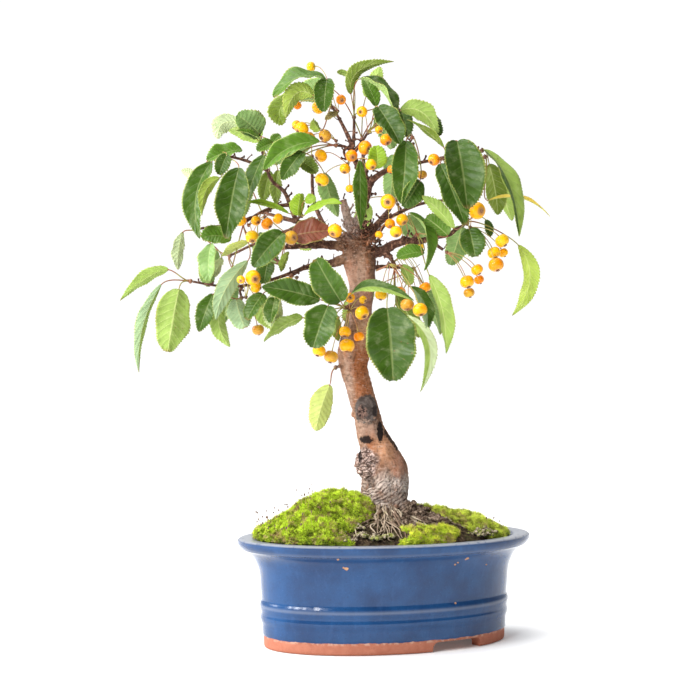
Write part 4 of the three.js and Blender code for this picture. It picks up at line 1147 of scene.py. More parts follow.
@dataclass
class DryClumps:
    """Knots of dead, grey-brown moss and crust on the soil."""

    places: tuple[Place, ...] = (
        # steps round, rings out, width
        (-3.6, 4.6, 10.0), (-2.9, 4.5, 9.0), (-7.7, 4.4, 6.0), (-8.2, 4.5, 7.0), (-8.8, 4.3, 7.0),
        (-4.4, 2.6, 4.0), (-9.4, 4.6, 8.0), (-3.6, 3.0, 5.0), (-9.2, 3.6, 6.0),
    )
    crust: Colour = (0.5, 0.42, 0.31)
    hole: Colour = (0.06, 0.04, 0.022)

    def material(self) -> Material:
        """Pale crust with dark holes and a little green."""
        paint = Paint("dry_crust", Specular_IOR_Level=0.1)
        colour = paint.between(self.hole, self.crust, paint.noise(2.4, 5, roughness=0.7).ease(0.4, 0.58))
        colour = colour.mix((0.26, 0.3, 0.05), paint.noise(5, 3).ease(0.46, 0.6) * 0.75)
        return paint.finish(colour, paint.matt(2, 0.8, 1.0), paint.noise(1.5, 4), 1.0)

    def build(self) -> None:
        """Makes the knots, each a heap of small ragged lumps."""
        draft = Draft()
        dice = Random(23)
        for step, ring, wide in self.places:
            middle = soil_point(step, ring, 1.0)
            for _ in range(round(wide * 7)):
                aside = Vector((dice.gauss(0, 0.5), dice.gauss(0, 0.4), 0)) * wide
                rise = dice.uniform(0.0, 0.75) * max(0.2, 1 - aside.length / wide) * wide
                place = middle + aside + UP * rise
                size = dice.uniform(0.8, 2.0)
                draft.lump(place, (size, size, size * 0.8), 6, rough=0.9)
        settle(draft.piece("dry_clumps", self.material()))


@dataclass
class SporeStalks:
    """Hair-thin stalks that stand above a cushion of moss, each with a dark capsule."""

    cushion: MossCushion
    count: int = 46
    around: Pair = (0.3, 0.85)  # from where to where along the cushion
    tall: Pair = (8.0, 22.0)
    capsule: float = 0.9
    stalk: Colour = (0.32, 0.2, 0.08)
    ripe: Colour = (0.1, 0.055, 0.035)

    def material(self, name: str, colour: Colour) -> Material:
        """The finish of the stalks or of the capsules."""
        paint = Paint(name)
        light = tuple(c * 1.9 for c in colour)
        return paint.finish(paint.between(colour, light, paint.noise(4)), bump=paint.noise(1.0))

    def build(self) -> None:
        """Makes the stalks."""
        draft = Draft()
        dice = Random(17)
        for _ in range(self.count):
            u, v = dice.uniform(*self.around), dice.uniform(0.4, 0.95)
            cushion = self.cushion
            foot = soil_point(lerp(*cushion.steps, u), lerp(*cushion.rings, v), cushion.thick - 3)
            tip = foot + Vector((dice.uniform(-5, 4), dice.uniform(-4, 4), dice.uniform(*self.tall)))
            bow = foot.lerp(tip, 0.6) + Vector((dice.uniform(-1.5, 1.5), 0, 0))
            draft.tube((foot, bow, tip), (0.16, 0.12), 4)
            size = self.capsule * dice.uniform(0.7, 1.3)
            draft.lump(tip, (size * 0.8, size * 0.8, size * 1.2), 5, mark=1)
        finishes = [self.material("spore_stalk", self.stalk), self.material("spore_capsule", self.ripe)]
        settle(draft.piece(f"{self.cushion.node}_spores", *finishes))



# ---- The tree's wood ----

TRUNK = (
    # across, up, radius
    (35, 112, 24), (35, 126, 22.5), (34.5, 138, 22.8), (36, 151, 23.4), (35.6, 168, 22.6), (30, 186, 18),
    (21.6, 205, 14.4), (16.5, 224, 12.6), (12, 241, 12.8), (8, 255, 12.2), (3.8, 271, 13.3),
    (3.4, 288, 15.8), (6, 305, 14.3), (9, 320, 12.8), (10.6, 336, 12), (12, 351, 12), (12, 363, 13.6),
    (10, 378, 16.2), (8, 390, 15.4), (7, 399, 12), (6.5, 408, 8.5),
)


TWIG_FROM = 3.9  # limbs that start thinner than this are twigs
LIMB_MOST = 6.2  # the radius that the stoutest limbs start with
LIMB_GROWTH = 0.84  # how thick the bare limbs are, as a share of their solids


@dataclass(frozen=True)
class Limb:
    """A limb or twig: its points as across, up and back, and its radius at each end."""

    points: tuple[Place, ...]
    thick: float
    thin: float

    def path(self) -> list[Vector]:
        """Its points in space."""
        return [at(*point) for point in self.points]

    def stout(self) -> bool:
        """Whether it is too thick to be a twig."""
        return self.thick >= TWIG_FROM

    def radius(self, share: float) -> float:
        """Its radius at a share of its length."""
        return lerp(self.thick, self.thin, share) * LIMB_GROWTH

    def rings(self, sides: int, spacing: float) -> list[list[Vector]]:
        """Its rings, which swell a little at its nodes.

        Args:
            sides: How many sides it has.
            spacing: How far apart the rings are.

        Returns:
            The rings.
        """
        path = smooth_path(self.path(), spacing)
        length = len(path) * spacing

        def radius(share: float) -> float:
            """The radius, with a swelling every so often and a collar where it leaves."""
            node = 0.09 * max(0.0, cos(tau * share * length / 17 + self.thick)) ** 3
            collar = 0.35 * max(0.0, 1 - share * length / 6)
            thick = min(self.thick, LIMB_MOST)
            return lerp(thick, self.thin, share) * LIMB_GROWTH * (1 + node) + collar * self.thin

        return rings_along(path, radius, sides, lambda share, angle: 1 + 0.05 * sin(2 * angle + 7 * share))


LIMB_ROWS = (
    # name, radius at each end, points across, up and back
    ("leader", 8, 3, (6, 400, 0), (9, 422, 0), (15, 440, 2), (18.5, 455, 3), (14, 466, 3), (7, 477, 1),
     (2, 489, -1), (2, 499, -2)),
    ("right_top", 4.2, 1.8, (17, 452, 3), (23, 461, 0), (31, 467, -4), (43, 474, -8), (53, 486, -11),
     (61, 501, -14)),
    ("old_top", 8, 3.8, (3, 404, -1), (-2, 420, -3), (-7, 441, -5)),
    ("crown_left", 2.6, 1.6, (2, 496, -2), (-7, 515, -4), (-16, 531, -6)),
    ("crown_top", 2.2, 1.5, (3, 494, -2), (4, 508, 0), (4, 521, 2)),
    ("crown_right", 2.2, 1.5, (5, 490, -1), (12, 499, 2), (17, 507, 4)),
    ("side_left", 2, 1.5, (3, 489, -2), (-5, 494, -5), (-12, 495, -8)),
    ("leader_stub", 1.8, 1.4, (0, 494, -2), (-6, 490, -4), (-3, 481, -6)),
    ("leader_front", 2.4, 1.8, (16, 462, 2), (16, 466, -4), (16, 470, -9)),
    ("right_high", 2.6, 1.6, (42, 472, -8), (60, 476, -20), (80, 480, -30), (95, 482, -36)),
    ("right_far", 2, 1.5, (80, 480, -30), (98, 484, -27), (115, 488, -34), (130, 490, -42)),
    ("right", 9, 1.8, (16, 390, 0), (30, 389, -4), (42, 395, -9), (55, 400, -12), (67, 399, -14),
     (86, 404, -17), (99, 406, -19), (107, 412, -21), (115, 416, -22)),
    ("right_low", 2.8, 1.7, (80, 402, -16), (86, 396, -18), (93, 391, -20)),
    ("right_under", 4.5, 2.2, (30, 390, -5), (40, 384, -10), (43, 378, -14)),
    ("right_mid", 2.4, 1.7, (64, 399, -14), (66, 404, -20)),
    ("junction_right", 4, 1.7, (16, 398, -4), (28, 408, -12), (36, 417, -18)),
    ("junction_front", 4, 1.7, (4, 398, -8), (-3, 406, -17)),
    ("left", 9, 1.8, (6, 392, 0), (-12, 395, -4), (-30, 396, -8), (-56, 394, -14), (-74, 391, -18),
     (-77, 384, -22), (-73, 380, -24)),
    ("left_up", 3.6, 1.6, (-24, 396, -7), (-44, 408, -5), (-54, 421, -2), (-60, 436, 2), (-66, 449, 6),
     (-78, 460, 8), (-84, 475, 10), (-88, 490, 11)),
    ("left_mid", 2, 1.6, (-54, 421, -2), (-50, 424, -7)),
    ("left_high", 2, 1.5, (-82, 470, 9), (-104, 480, 12), (-122, 484, 10), (-134, 484, 8)),
    ("left_fruit", 2.4, 1.5, (-60, 436, 2), (-74, 434, -5), (-90, 428, -10), (-104, 419, -13)),
    ("left_out", 1.9, 1.4, (-98, 423, -12), (-118, 417, -12), (-136, 414, -12), (-150, 412, -14)),
    ("left_low", 7, 1.8, (2, 386, -4), (-16, 378, -8), (-37, 375, -12), (-50, 371, -19),
     (-57, 366, -27)),
    ("far_left", 2.1, 1.3, (-48, 372, -17), (-78, 361, -20), (-107, 355, -30), (-133, 355, -36),
     (-157, 359, -40)),
    ("left_hook", 1.7, 1.3, (-107, 355, -30), (-110, 350, -33), (-109, 345, -35)),
    ("front_spur", 4.6, 2.4, (2, 334, -6), (-4, 333, -18)),
    ("stub", 3.4, 2, (-2, 277, -4), (-12, 274, -6)),
    ("back_right", 7, 1.8, (8, 394, 4), (24, 412, 34), (46, 440, 80)),
    ("back_right_far", 2.6, 1.5, (28, 417, 42), (68, 436, 58), (108, 442, 62)),
    ("back_left", 6.5, 1.8, (4, 396, 4), (-24, 410, 34), (-86, 428, 76)),
    ("back_left_high", 3, 1.5, (-24, 410, 34), (-36, 440, 50), (-38, 482, 64)),
    ("back_left_low", 2.4, 1.5, (-44, 416, 48), (-84, 402, 56), (-118, 386, 60)),
    ("back_low", 3, 1.8, (10, 368, 6), (30, 374, 38), (62, 372, 66)),
    ("back_top", 3.2, 1.5, (15, 450, 3), (14, 470, 22), (12, 500, 50)),
)
LIMBS = {name: Limb(tuple(points), thick, thin) for name, thick, thin, *points in LIMB_ROWS}


def beyond(limb: str, ahead: float, beside: Place) -> Vector:
    """A point near the end of a limb.

    Args:
        limb: The limb's name.
        ahead: How far it lies ahead of the end.
        beside: How far it then lies across, up and back.

    Returns:
        The point.
    """
    before, end = LIMBS[limb].path()[-2:]
    x, z, y = beside
    return end + (end - before).normalized() * ahead + Vector((x, y, z))


BURR = at(18.5, 177, -7)
WOUND = at(16.5, 231, -9.6)
TRUNK_FOOT = at(35, 126, 0)
GOLDEN_ANGLE = 2.399963


@dataclass(frozen=True)
class Bark:
    """Brown bark: lenticels and streaks, black weathered patches, a pale burr with painted shade in its
    folds, a grey pruning wound and a painted highlight at the foot's right edge.
    """

    brown: Colour = (0.18, 0.09, 0.055)
    tan: Colour = (0.28, 0.155, 0.095)
    orange: Colour = (0.32, 0.095, 0.028)
    grey: Colour = (0.66, 0.56, 0.49)
    black: Colour = (0.012, 0.008, 0.008)
    twig: Colour = (0.055, 0.026, 0.02)
    # each stain: its colour, its middle, its half sizes and how strong it is
    stains: tuple[tuple[Colour, Place, Place, float], ...] = (
        ((0.32, 0.095, 0.028), (10, 277, -6), (7, 16, 34), 0.8),
        ((0.32, 0.095, 0.028), (15, 250, -8), (7, 16, 12), 0.6),
        ((0.54, 0.27, 0.15), (33, 190, -8), (12, 16, 14), 0.85),
        ((0.46, 0.22, 0.14), (47, 172, -8), (7, 18, 15), 0.75),
        ((0.5, 0.35, 0.28), (20, 213, -8), (12, 16, 9), 0.35),
        ((0.6, 0.5, 0.45), (33, 157, -12), (9, 16, 7), 0.6),
        ((0.42, 0.3, 0.24), (-1, 262, -8), (4, 16, 50), 0.35),
        ((0.44, 0.3, 0.235), (6, 352, -8), (18, 18, 28), 0.5),
        ((0.6, 0.37, 0.21), (13, 308, -8), (8, 16, 15), 0.6),
        ((0.3, 0.125, 0.07), (16, 343, -8), (5, 18, 20), 0.6),
        ((0.2, 0.12, 0.09), (4, 325, -8), (12, 18, 20), 0.4),
    )
    # each weathered black patch: its middle, its half sizes and how strong it is
    patches: tuple[tuple[Place, Place, float], ...] = (
        ((30, 208, -8), (3.2, 14, 10.8), 0.98), ((16, 201, -12), (7, 14, 3.6), 0.96),
        ((24.5, 230, -8), (2.4, 14, 6), 0.8),
        *(((35.5 + 1.9 * k, 208 - 2.6 * k, -6), (1.4, 14, 2.6), 0.9) for k in range(7)),
        ((10, 184, -8), (2, 12, 6), 0.9), ((-9, 300, -4), (3, 14, 5), 0.6),
        ((-5, 316, -6), (4, 14, 9), 0.45), ((30, 330, 0), (3, 14, 16), 0.4),
        ((21, 160, -14), (4, 10, 7), 0.5), ((30, 141, -14), (9, 12, 3), 0.5),
    )

    def material(self) -> Material:
        """The wood's finish."""
        paint = Paint("bark", Specular_IOR_Level=0.1)
        height = paint.place.part(2)
        flow = paint.noise(4, 5, (1, 1, 2.4), 0.65)
        wrinkles = paint.noise(4.4, 5, (1.5, 1.5, 0.6), 0.75)
        plates = paint.noise(17, 4, (1, 1, 2.2), 0.6)
        colour = paint.between(self.brown, self.tan, plates.ease(0.34, 0.64))
        colour = colour.mix(self.orange, paint.noise(22, 4, (0.8, 0.8, 3)).ease(0.5, 0.62) * 0.55)
        colour = self.weather(paint, colour)
        colour = colour.mix(colour * 0.4, flow.ease(0.48, 0.34) * 0.7)
        colour = colour.mix((0.46, 0.32, 0.25), flow.ease(0.55, 0.7) * 0.35)
        colour = colour.mix(colour * 0.35, wrinkles.ease(0.49, 0.36) * 0.6)
        colour = colour.mix((0.6, 0.46, 0.38), wrinkles.ease(0.53, 0.66) * 0.35)
        worms = paint.place / (1.8, 1.8, 0.8) + paint.noise(5, 3) * 9.0
        folds = paint.cells(4.2, "DISTANCE_TO_EDGE", place=worms).ease(0.0, 0.16)
        old = (height + paint.noise(14, 4) * 50 - 25).ease(180, 146)
        arcs = ((paint.place - tuple(BURR + SHIFT)).size() * 1.9 + paint.noise(9, 5) * 19.0).of("SINE")
        creases = arcs.ease(0.15, -0.75) * old
        colour = colour.mix((0.065, 0.04, 0.032), creases * paint.noise(3, 3).ease(0.35, 0.55) * 0.85)
        dash = paint.cells(4.6, stretch=(1.6, 1.6, 0.5)).ease(0.2, 0.12)
        colour = colour.mix((0.5, 0.38, 0.3), dash * paint.noise(9).ease(0.45, 0.6) * 0.4)
        pores = paint.cells(6.5).ease(0.13, 0.07)
        colour = colour.mix((0.07, 0.035, 0.025), pores * paint.noise(16).ease(0.5, 0.6) * 0.8)
        out = (paint.place.part(0) - (SHIFT.x + 4)).of("ABSOLUTE").ease(16, 23) * height.ease(330, 345)
        limb = out.of("MAXIMUM", height.ease(394, 412))
        scaly = paint.noise(3.5, 5, roughness=0.8).ease(0.47, 0.66)
        colour = colour.mix(paint.between(self.twig, (0.32, 0.165, 0.11), scaly), limb * 0.92)
        stub = paint.spot(at(1, 421, -6), (11, 14, 19), 0.4, 0.4, 6) * paint.noise(3, 4).ease(0.3, 0.55)
        colour = colour.mix((0.5, 0.38, 0.33), stub * 0.8)
        foot = (paint.place - tuple(at(34, 120, 0) + SHIFT)) * (1, 1, 0.3)
        gnarled = foot.size().ease(22, 32) * height.ease(160, 146)
        earthy = paint.noise(2.6, 5, roughness=0.75).ease(0.44, 0.68)
        colour = colour.mix(paint.between((0.05, 0.03, 0.02), (0.42, 0.31, 0.23), earthy), gnarled)
        burr = paint.spot(BURR, (14, 17, 17), 0.12, 0.25, 6)
        skin = paint.between((0.34, 0.22, 0.175), (0.68, 0.52, 0.46), paint.noise(3, 3).ease(0.35, 0.6))
        # dark lines along the burr's folds: painted shade
        burr_colour = skin.mix((0.085, 0.05, 0.04), 1.0 - folds)
        colour = colour.mix(burr_colour, burr * 0.95)
        colour = self.old_marks(paint, colour)
        relief = flow * 0.5 + wrinkles * 0.9 + plates * 0.4 + dash * 0.15 + paint.noise(1.2, 4) * 0.35
        relief = relief + folds * burr * 0.7 - creases * 0.5
        return paint.finish(colour, flow.ease(0, 1, 0.6, 0.95), relief, 1.3)

    def weather(self, paint: Paint, colour: Sock) -> Sock:
        """Lays the broad stains over the bark, the grey foot, and a painted highlight at the foot's right
        edge.

        Args:
            paint: The material in the making.
            colour: The bark's colour.

        Returns:
            The colour with the stains on it.
        """
        height = paint.place.part(2)
        for stain, place, radii, share in self.stains:
            colour = colour.mix(stain, paint.spot(at(*place), radii, 0.6, 0.5, 12) * share)
        foot = (height + paint.noise(14, 4) * 50 - 25).ease(180, 146) * paint.noise(9, 5).ease(0.3, 0.6)
        colour = colour.mix(self.grey, foot * 0.85)
        # a painted highlight: whitish specks at the right edge of the trunk's foot
        pale = paint.spot(at(50, 155, -8), (14, 18, 10), 0.6, 0.6, 5)
        return colour.mix((0.66, 0.6, 0.56), pale * paint.noise(1.6, 4).ease(0.4, 0.6))

    def old_marks(self, paint: Paint, colour: Sock) -> Sock:
        """Lays the wound and the black patches over the bark.

        Args:
            paint: The material in the making.
            colour: The bark's colour.

        Returns:
            The colour with the marks on it.
        """
        face = paint.spot(WOUND, (12, 15, 15), 0.07, 0.22, 6)
        grain = paint.noise(6, 4, (1, 1, 0.7)).ease(0.32, 0.66)
        colour = colour.mix(paint.between((0.04, 0.033, 0.03), (0.11, 0.092, 0.085), grain), face * 0.95)
        hollow = paint.spot(WOUND + Vector((-4.5, 0, -2.5)), (5.5, 14, 6.8), 0.2, 0.5, 3)
        speckle = paint.noise(2.2, 4).ease(0.42, 0.62)
        colour = colour.mix(paint.between((0.02, 0.012, 0.01), (0.24, 0.14, 0.11), speckle), hollow * 0.9)
        lip = paint.spot(WOUND + Vector((-2.5, 0, -12)), (8.5, 14, 3.2), 0.3, 0.6, 3)
        colour = colour.mix((0.36, 0.24, 0.18), lip * paint.noise(1.8, 4).ease(0.4, 0.6) * 0.8)
        for place, radii, share in self.patches:
            colour = colour.mix(self.black, paint.spot(at(*place), radii, 0.14, 0.6, 3.2) * share)
        return colour


def root_way(
    degrees: float, reach: float, radius: float, swing: float, rise: float, dice: Random
) -> list[Vector]:
    """The way of a root that leaves the trunk in a direction, wanders, and stops short of the pot.

    Args:
        degrees: The direction that it leaves in.
        reach: How far out it goes.
        radius: Its radius.
        swing: How far it bends aside.
        rise: How far above the soil it starts.
        dice: What it wanders by.

    Returns:
        Its points.
    """
    out = ray(radians(degrees))
    side = UP.cross(out)
    points = []
    wiggle, phase = dice.uniform(1.0, 3.5), dice.uniform(0, tau)
    for i in range(12):
        share = i / 11
        place = Vector((TRUNK_FOOT.x, TRUNK_FOOT.y, 0)) + out * lerp(11, reach, share)
        stray = 13 * noise.noise(Vector((place.x * 0.07, place.y * 0.07, phase)))
        waver = wiggle * share * sin(share * 8 + phase)
        place += side * (swing * share * share + stray * share + waver)
        place += side * dice.uniform(-1, 1)
        if oval_share(place.x, place.y, soil_out(SOIL_EDGE)) > 0.95:
            break
        lift = radius * 0.5 + rise * (1 - share) ** 3 + dice.uniform(-0.8, 0.8)
        place.z = soil_top(place.x, place.y) + (lift + 1.4 * sin(share * 11 + phase))
        points.append(place)
    return points


def roughen(mesh: Mesh, depth: float) -> None:
    """Moves each point of the wood in or out: plates, grain, arcs over the foot and the burr's folds.

    Args:
        mesh: The mesh to change.
        depth: How deep the marks are, in millimetres.
    """
    normals = [vertex.normal.copy() for vertex in mesh.vertices]
    moved = []
    for vertex, normal in zip(mesh.vertices, normals):
        p = vertex.co / MM
        stem = 1.0 if p.z < 412 and abs(p.x - SHIFT.x - 18) < 42 and abs(p.y - SHIFT.y) < 30 else 0.4
        plates = noise.noise(Vector((p.x, p.y, p.z * 0.4)) * 0.17)
        grain = noise.noise(Vector((p.x, p.y, p.z * 0.55)) * 0.5 + Vector((7, 3, 1)))
        fine = noise.noise(p * 1.1)
        depths = (plates * 0.9 + grain * 0.6 + fine * 0.3) * stem
        from_burr = (p - BURR - SHIFT).length
        if p.z < 172 and stem == 1.0:
            arcs = sin(from_burr * 1.9 + noise.noise(p * 0.12) * 9 + noise.noise(p * 0.4) * 2)
            depths += 0.55 * arcs * min(1.0, (172 - p.z) / 16)
        if from_burr < 17:
            depths += 1.2 - 4.0 * abs(noise.noise(Vector((p.x, p.y, p.z * 1.5)) * 0.24)) ** 0.8
        moved.append(vertex.co + normal * (depths * depth * MM))
    mesh.vertices.foreach_set("co", [c for point in moved for c in point])
    mesh.update()


@dataclass
class Stem:
    """The trunk with its burr, its pruning wound and its buttresses, and the stout limbs."""

    voxel: float = 0.95
    knobs_of_burr: int = 90
    draft: Draft = field(default_factory=Draft)

    def trunk(self) -> None:
        """The trunk, its rings uneven."""
        rows = [at(x, z, 0) for x, z, _ in TRUNK]
        path = smooth_path(rows, 2.0)
        radii = [r for _, _, r in TRUNK]
        heights = [p.z for p in rows]
        count = len(path) - 1

        def radius(share: float) -> float:
            """The trunk's radius at a share of its length, run smoothly through the rows."""
            z = path[round(share * count)].z
            k = max(i for i in range(len(heights) - 1) if i == 0 or heights[i] <= z)
            step = min(1.0, max(0.0, (z - heights[k]) / (heights[k + 1] - heights[k])))
            return lerp(radii[k], radii[k + 1], step * step * (3 - 2 * step))

        def flutes(share: float, angle: float) -> float:
            """How far the trunk swells and sinks round about, in waves that wind up it."""
            turn = angle + share * 2.2
            return 1 + 0.05 * sin(3 * turn) + 0.035 * sin(5 * turn + 2) + 0.02 * sin(9 * turn - 1)

        self.draft.skin(rings_along(path, radius, 44, flutes))

    def burr(self) -> None:
        """The burr: a lump grown over with small knobs."""
        self.draft.lump(BURR, (12.3, 9.5, 14.8), 12)
        dice = Random(5)
        for i in range(self.knobs_of_burr):
            z = 1 - 2 * (i + 0.5) / self.knobs_of_burr
            angle, flat = i * GOLDEN_ANGLE, sqrt(1 - z * z)
            out = Vector((cos(angle) * flat, sin(angle) * flat, z))
            if out.y < 0.5:
                size = dice.uniform(1.5, 3.0)
                centre = BURR + Vector((out.x * 11.6, out.y * 9.2, out.z * 14.0))
                self.draft.lump(centre, (size, size, size * dice.uniform(0.6, 1.0)), 6, rough=0.3)

    def wound(self) -> None:
        """The pruning wound: a rough face with a hollow, a swollen lower lip and a bud beside it."""
        facing = Vector((-0.28, -1, 0.05)).normalized()
        across = UP.cross(facing).normalized()
        rise = facing.cross(across)
        self.draft.lump(WOUND, (10.5, 5.0, 13.6), 12, rough=0.25)
        dice = Random(12)
        for degrees in range(0, 360, 14):
            angle = radians(degrees + dice.uniform(-5, 5))
            low = sin(angle) < -0.5
            fat = dice.uniform(1.6, 2.6) if low else dice.uniform(0.7, 1.3)
            place = WOUND + facing * (3.2 + (1.4 if low else 0.0))
            place += across * (9.8 * cos(angle)) + rise * (12.4 * sin(angle))
            self.draft.lump(place, (fat * 1.3, fat, fat * 0.8), 6, rough=0.4)
        self.draft.lump(at(3.2, 226.5, -3), (2.2, 2.2, 3.6), 6, rough=0.3)

    def buttresses(self) -> None:
        """The thick gnarled roots that the trunk stands on, most of them at the right."""
        dice = Random(14)
        for degrees, reach, thick, rise in (
            (-52, 54, 4.2, 12), (-40, 60, 5.2, 13), (-29, 62, 5.8, 14), (-17, 60, 5.4, 12),
            (-5, 50, 4.8, 10), (-66, 46, 3.6, 12), (-166, 36, 4, 9), (150, 34, 3.4, 9), (60, 40, 3.6, 9),
            (-34, 66, 3.0, 6), (-22, 68, 3.2, 5),
        ):
            points = root_way(degrees, reach, thick, dice.uniform(-6, 6), rise, dice)

            def radius(share: float) -> float:
                """The root's uneven radius at a share of its length."""
                return lerp(thick, 1.5, share) * (1 + 0.2 * sin(23 * share + degrees))

            self.draft.skin(rings_along(smooth_path(points, 2.0), radius, 12))
            for point in points[1:]:
                size = thick * dice.uniform(0.35, 0.7)
                aside = Vector((dice.uniform(-1, 1), dice.uniform(-1, 1), dice.uniform(0, 1))) * thick * 0.8
                self.draft.lump(point + aside, (size, size, size * 0.8), 6, rough=0.6)

    def knobs(self, limb: Limb) -> None:
        """Adds knobs and old spur scars along a stout limb.

        Args:
            limb: The limb.
        """
        dice = Random(f"{limb.points[0]}")
        path = smooth_path(limb.path(), 5.0)
        for i, point in enumerate(path[2:], 2):
            own = limb.radius(i / len(path))
            out = ray(dice.uniform(0, tau), dice.uniform(-0.6, 0.9)).normalized()
            size = own * dice.uniform(0.3, 0.6)
            self.draft.lump(point + out * (own * 0.85), (size, size, size), 6, rough=0.6)

    def build(self, finish: Material) -> None:
        """Makes the stem, all of one skin.

        Args:
            finish: The bark.
        """
        self.trunk()
        self.burr()
        self.wound()
        self.buttresses()
        for limb in LIMBS.values():
            if limb.stout():
                self.draft.skin(limb.rings(16, 2.0), along=True)
                self.knobs(limb)
        piece = self.draft.piece("trunk_and_limbs", finish)
        modify(piece, "REMESH", mode="VOXEL", voxel_size=self.voxel * MM, use_smooth_shade=True)
        modify(piece, "SMOOTH", factor=0.5, iterations=2)
        apply_modifiers(piece)
        roughen(piece.data, 1.0)
        dress(piece.data, finish)
        settle(piece, ["tree_wood"])


@dataclass
class SurfaceRoots:
    """The surface roots: dark thick ones behind, and a fan of pale fine ones in front."""

    fine: int = 84
    draft: Draft = field(default_factory=Draft)

    def fork(self, points: list[Vector], radius: float, shade: Colour, dice: Random) -> None:
        """Adds a finer root that leaves a root on its way, unless it would reach the pot.

        Args:
            points: The points of the root that it leaves.
            radius: That root's radius.
            shade: The colour of both.
            dice: What it wanders by.
        """
        start = dice.randint(3, 6)
        ahead = (points[start + 1] - points[start]).normalized()
        side = UP.cross(ahead) * dice.choice((-1, 1))
        twig = [points[start]]
        for step in range(1, 6):
            place = points[start] + ahead * (step * 4.2) + side * (step * dice.uniform(1.2, 3.0))
            place.z = soil_top(place.x, place.y) + dice.uniform(0.2, 1.8)
            twig.append(place)
        if oval_share(place.x, place.y, soil_out(SOIL_EDGE)) < 0.95:
            rings = rings_along(smooth_path(twig, 1.6), lambda s: lerp(radius * 0.65, 0.3, s), 7)
            self.draft.skin(rings, 0, shade)

    def build(self) -> None:
        """Makes the roots."""
        dice = Random(8)
        dark, pale = (0.22, 0.145, 0.1), (0.74, 0.62, 0.46)
        lines = [(-132, 50, 2.6, -7, 9, dark), (-99, 56, 2.2, -6, 9, dark), (60, 40, 3.6, -5, 9, dark)]
        for i in range(self.fine):
            reach, radius, swing = dice.uniform(30, 90), dice.uniform(0.4, 1.3), dice.uniform(-22, 22)
            shade = blend(pale, dark, dice.random() ** 0.7)
            degrees = -168 + i * 1.9 + dice.uniform(-9, 9)
            lines.append((degrees, reach, radius, swing, dice.uniform(3, 20), shade))
        for degrees, reach, radius, swing, rise, shade in lines:
            points = root_way(degrees, reach, radius, swing, rise, dice)
            path = smooth_path(points, 1.6)
            rings = rings_along(path, lambda s: lerp(radius, 0.35, s) * (1 + 0.25 * sin(19 * s)), 8)
            self.draft.skin(rings, 0, shade)
            if len(points) > 8 and dice.random() < 0.7:
                self.fork(points, radius, shade, dice)
        piece = self.draft.piece("roots", RootSkin().material())
        roughen(piece.data, 0.5)
        settle(piece)


@dataclass
class Twigs:
    """The thin limbs, the spurs, and the stalks that have dropped their fruit."""

    thicket: int = 230  # how many spurs stand where the limbs part
    bare: int = 9  # how many stalks have dropped their fruit
    draft: Draft = field(default_factory=Draft)

    def spurs(self) -> None:
        """Short spurs: along the limbs, and a thicket of them where the limbs part."""
        dice = Random(29)
        starts = []
        for limb in LIMBS.values():
            if limb.thick > 1.6:
                path = smooth_path(limb.path(), 7.0)
                for i, point in enumerate(path[1:], 1):
                    own = limb.radius(i / len(path))
                    if dice.random() < 0.75:
                        starts.append((point, own, dice.uniform(2.5, 7.0)))
        for _ in range(self.thicket):
            place = at(8 + dice.gauss(0, 10), dice.uniform(388, 416), dice.gauss(-8, 6))
            starts.append((place, 3.0, dice.uniform(2.5, 9.0)))
        for point, own, length in starts:
            out = ray(dice.uniform(0, tau), dice.uniform(-0.3, 1.1)).normalized()
            foot = point + out * (own * 0.7)
            tip = foot + out * (own * 0.3 + length) + UP * dice.uniform(-0.5, 2.0)
            bow = foot.lerp(tip, 0.5) + Vector(dice.uniform(-0.8, 0.8) for _ in range(3))
            thick = dice.uniform(0.35, 1.4)
            self.draft.tube((foot, bow, tip), (thick, thick * 0.5), 6, 1.6)
            self.draft.lump(tip, (thick * 0.9, thick * 0.9, thick * 1.3), 5, rough=0.4)

    def bare_stalks(self) -> None:
        """Stalks that have dropped their fruit, right of the trunk, and the green twig that bears them."""
        dice = Random(31)
        self.draft.tube((at(26, 370, -4), at(44, 379, -6), at(62, 396, -4)), (1.0, 0.7), 6, 2.0, mark=1)
        for i in range(self.bare):
            share = i / (self.bare - 1)
            start = at(lerp(41, 54, share), lerp(378, 388, share), -6)
            across = lerp(40, 78, share) + dice.uniform(-3, 3)
            end = at(across, dice.uniform(346, 362), -6 + dice.uniform(-8, 8))
            bend = Vector((end.x * 0.6 + start.x * 0.4, (start.y + end.y) / 2, start.z - 4))
            path = [bezier((start, bend, end), k / 8) for k in range(9)]
            self.draft.skin(rings_along(path, lambda s: 0.38, 5), 1)

    def build(self, finish: Material) -> None:
        """Makes the twigs.

        Args:
            finish: The bark.
        """
        for limb in LIMBS.values():
            if not limb.stout():
                self.draft.skin(limb.rings(9, 1.5), along=True)
        self.spurs()
        self.bare_stalks()
        stalk = StalkSkin("bare_stalk", (0.42, 0.34, 0.1), (0.46, 0.19, 0.1)).material()
        settle(self.draft.piece("twigs", finish, stalk))


@dataclass(frozen=True)
class RootSkin:
    """Pale to brown roots with earth and a little green in their hollows."""

    earth: Colour = (0.07, 0.045, 0.03)
    green: Colour = (0.13, 0.15, 0.03)

    def material(self) -> Material:
        """The roots' finish."""
        paint = Paint("root_skin", Specular_IOR_Level=0.1)
        colour = paint.tone().mix(self.earth, paint.noise(3.5, 5).ease(0.5, 0.66) * 0.7)
        colour = colour.mix(self.green, paint.noise(8, 4).ease(0.58, 0.7) * 0.4)
        return paint.finish(colour, paint.matt(3, 0.7, 0.95), paint.noise(1.4, 4), 0.7)


# ---- Leaves ----


VEINS = 8.5  # side veins on each half of a blade
VEIN_SLANT = 1.5  # how many veins further on they reach the edge


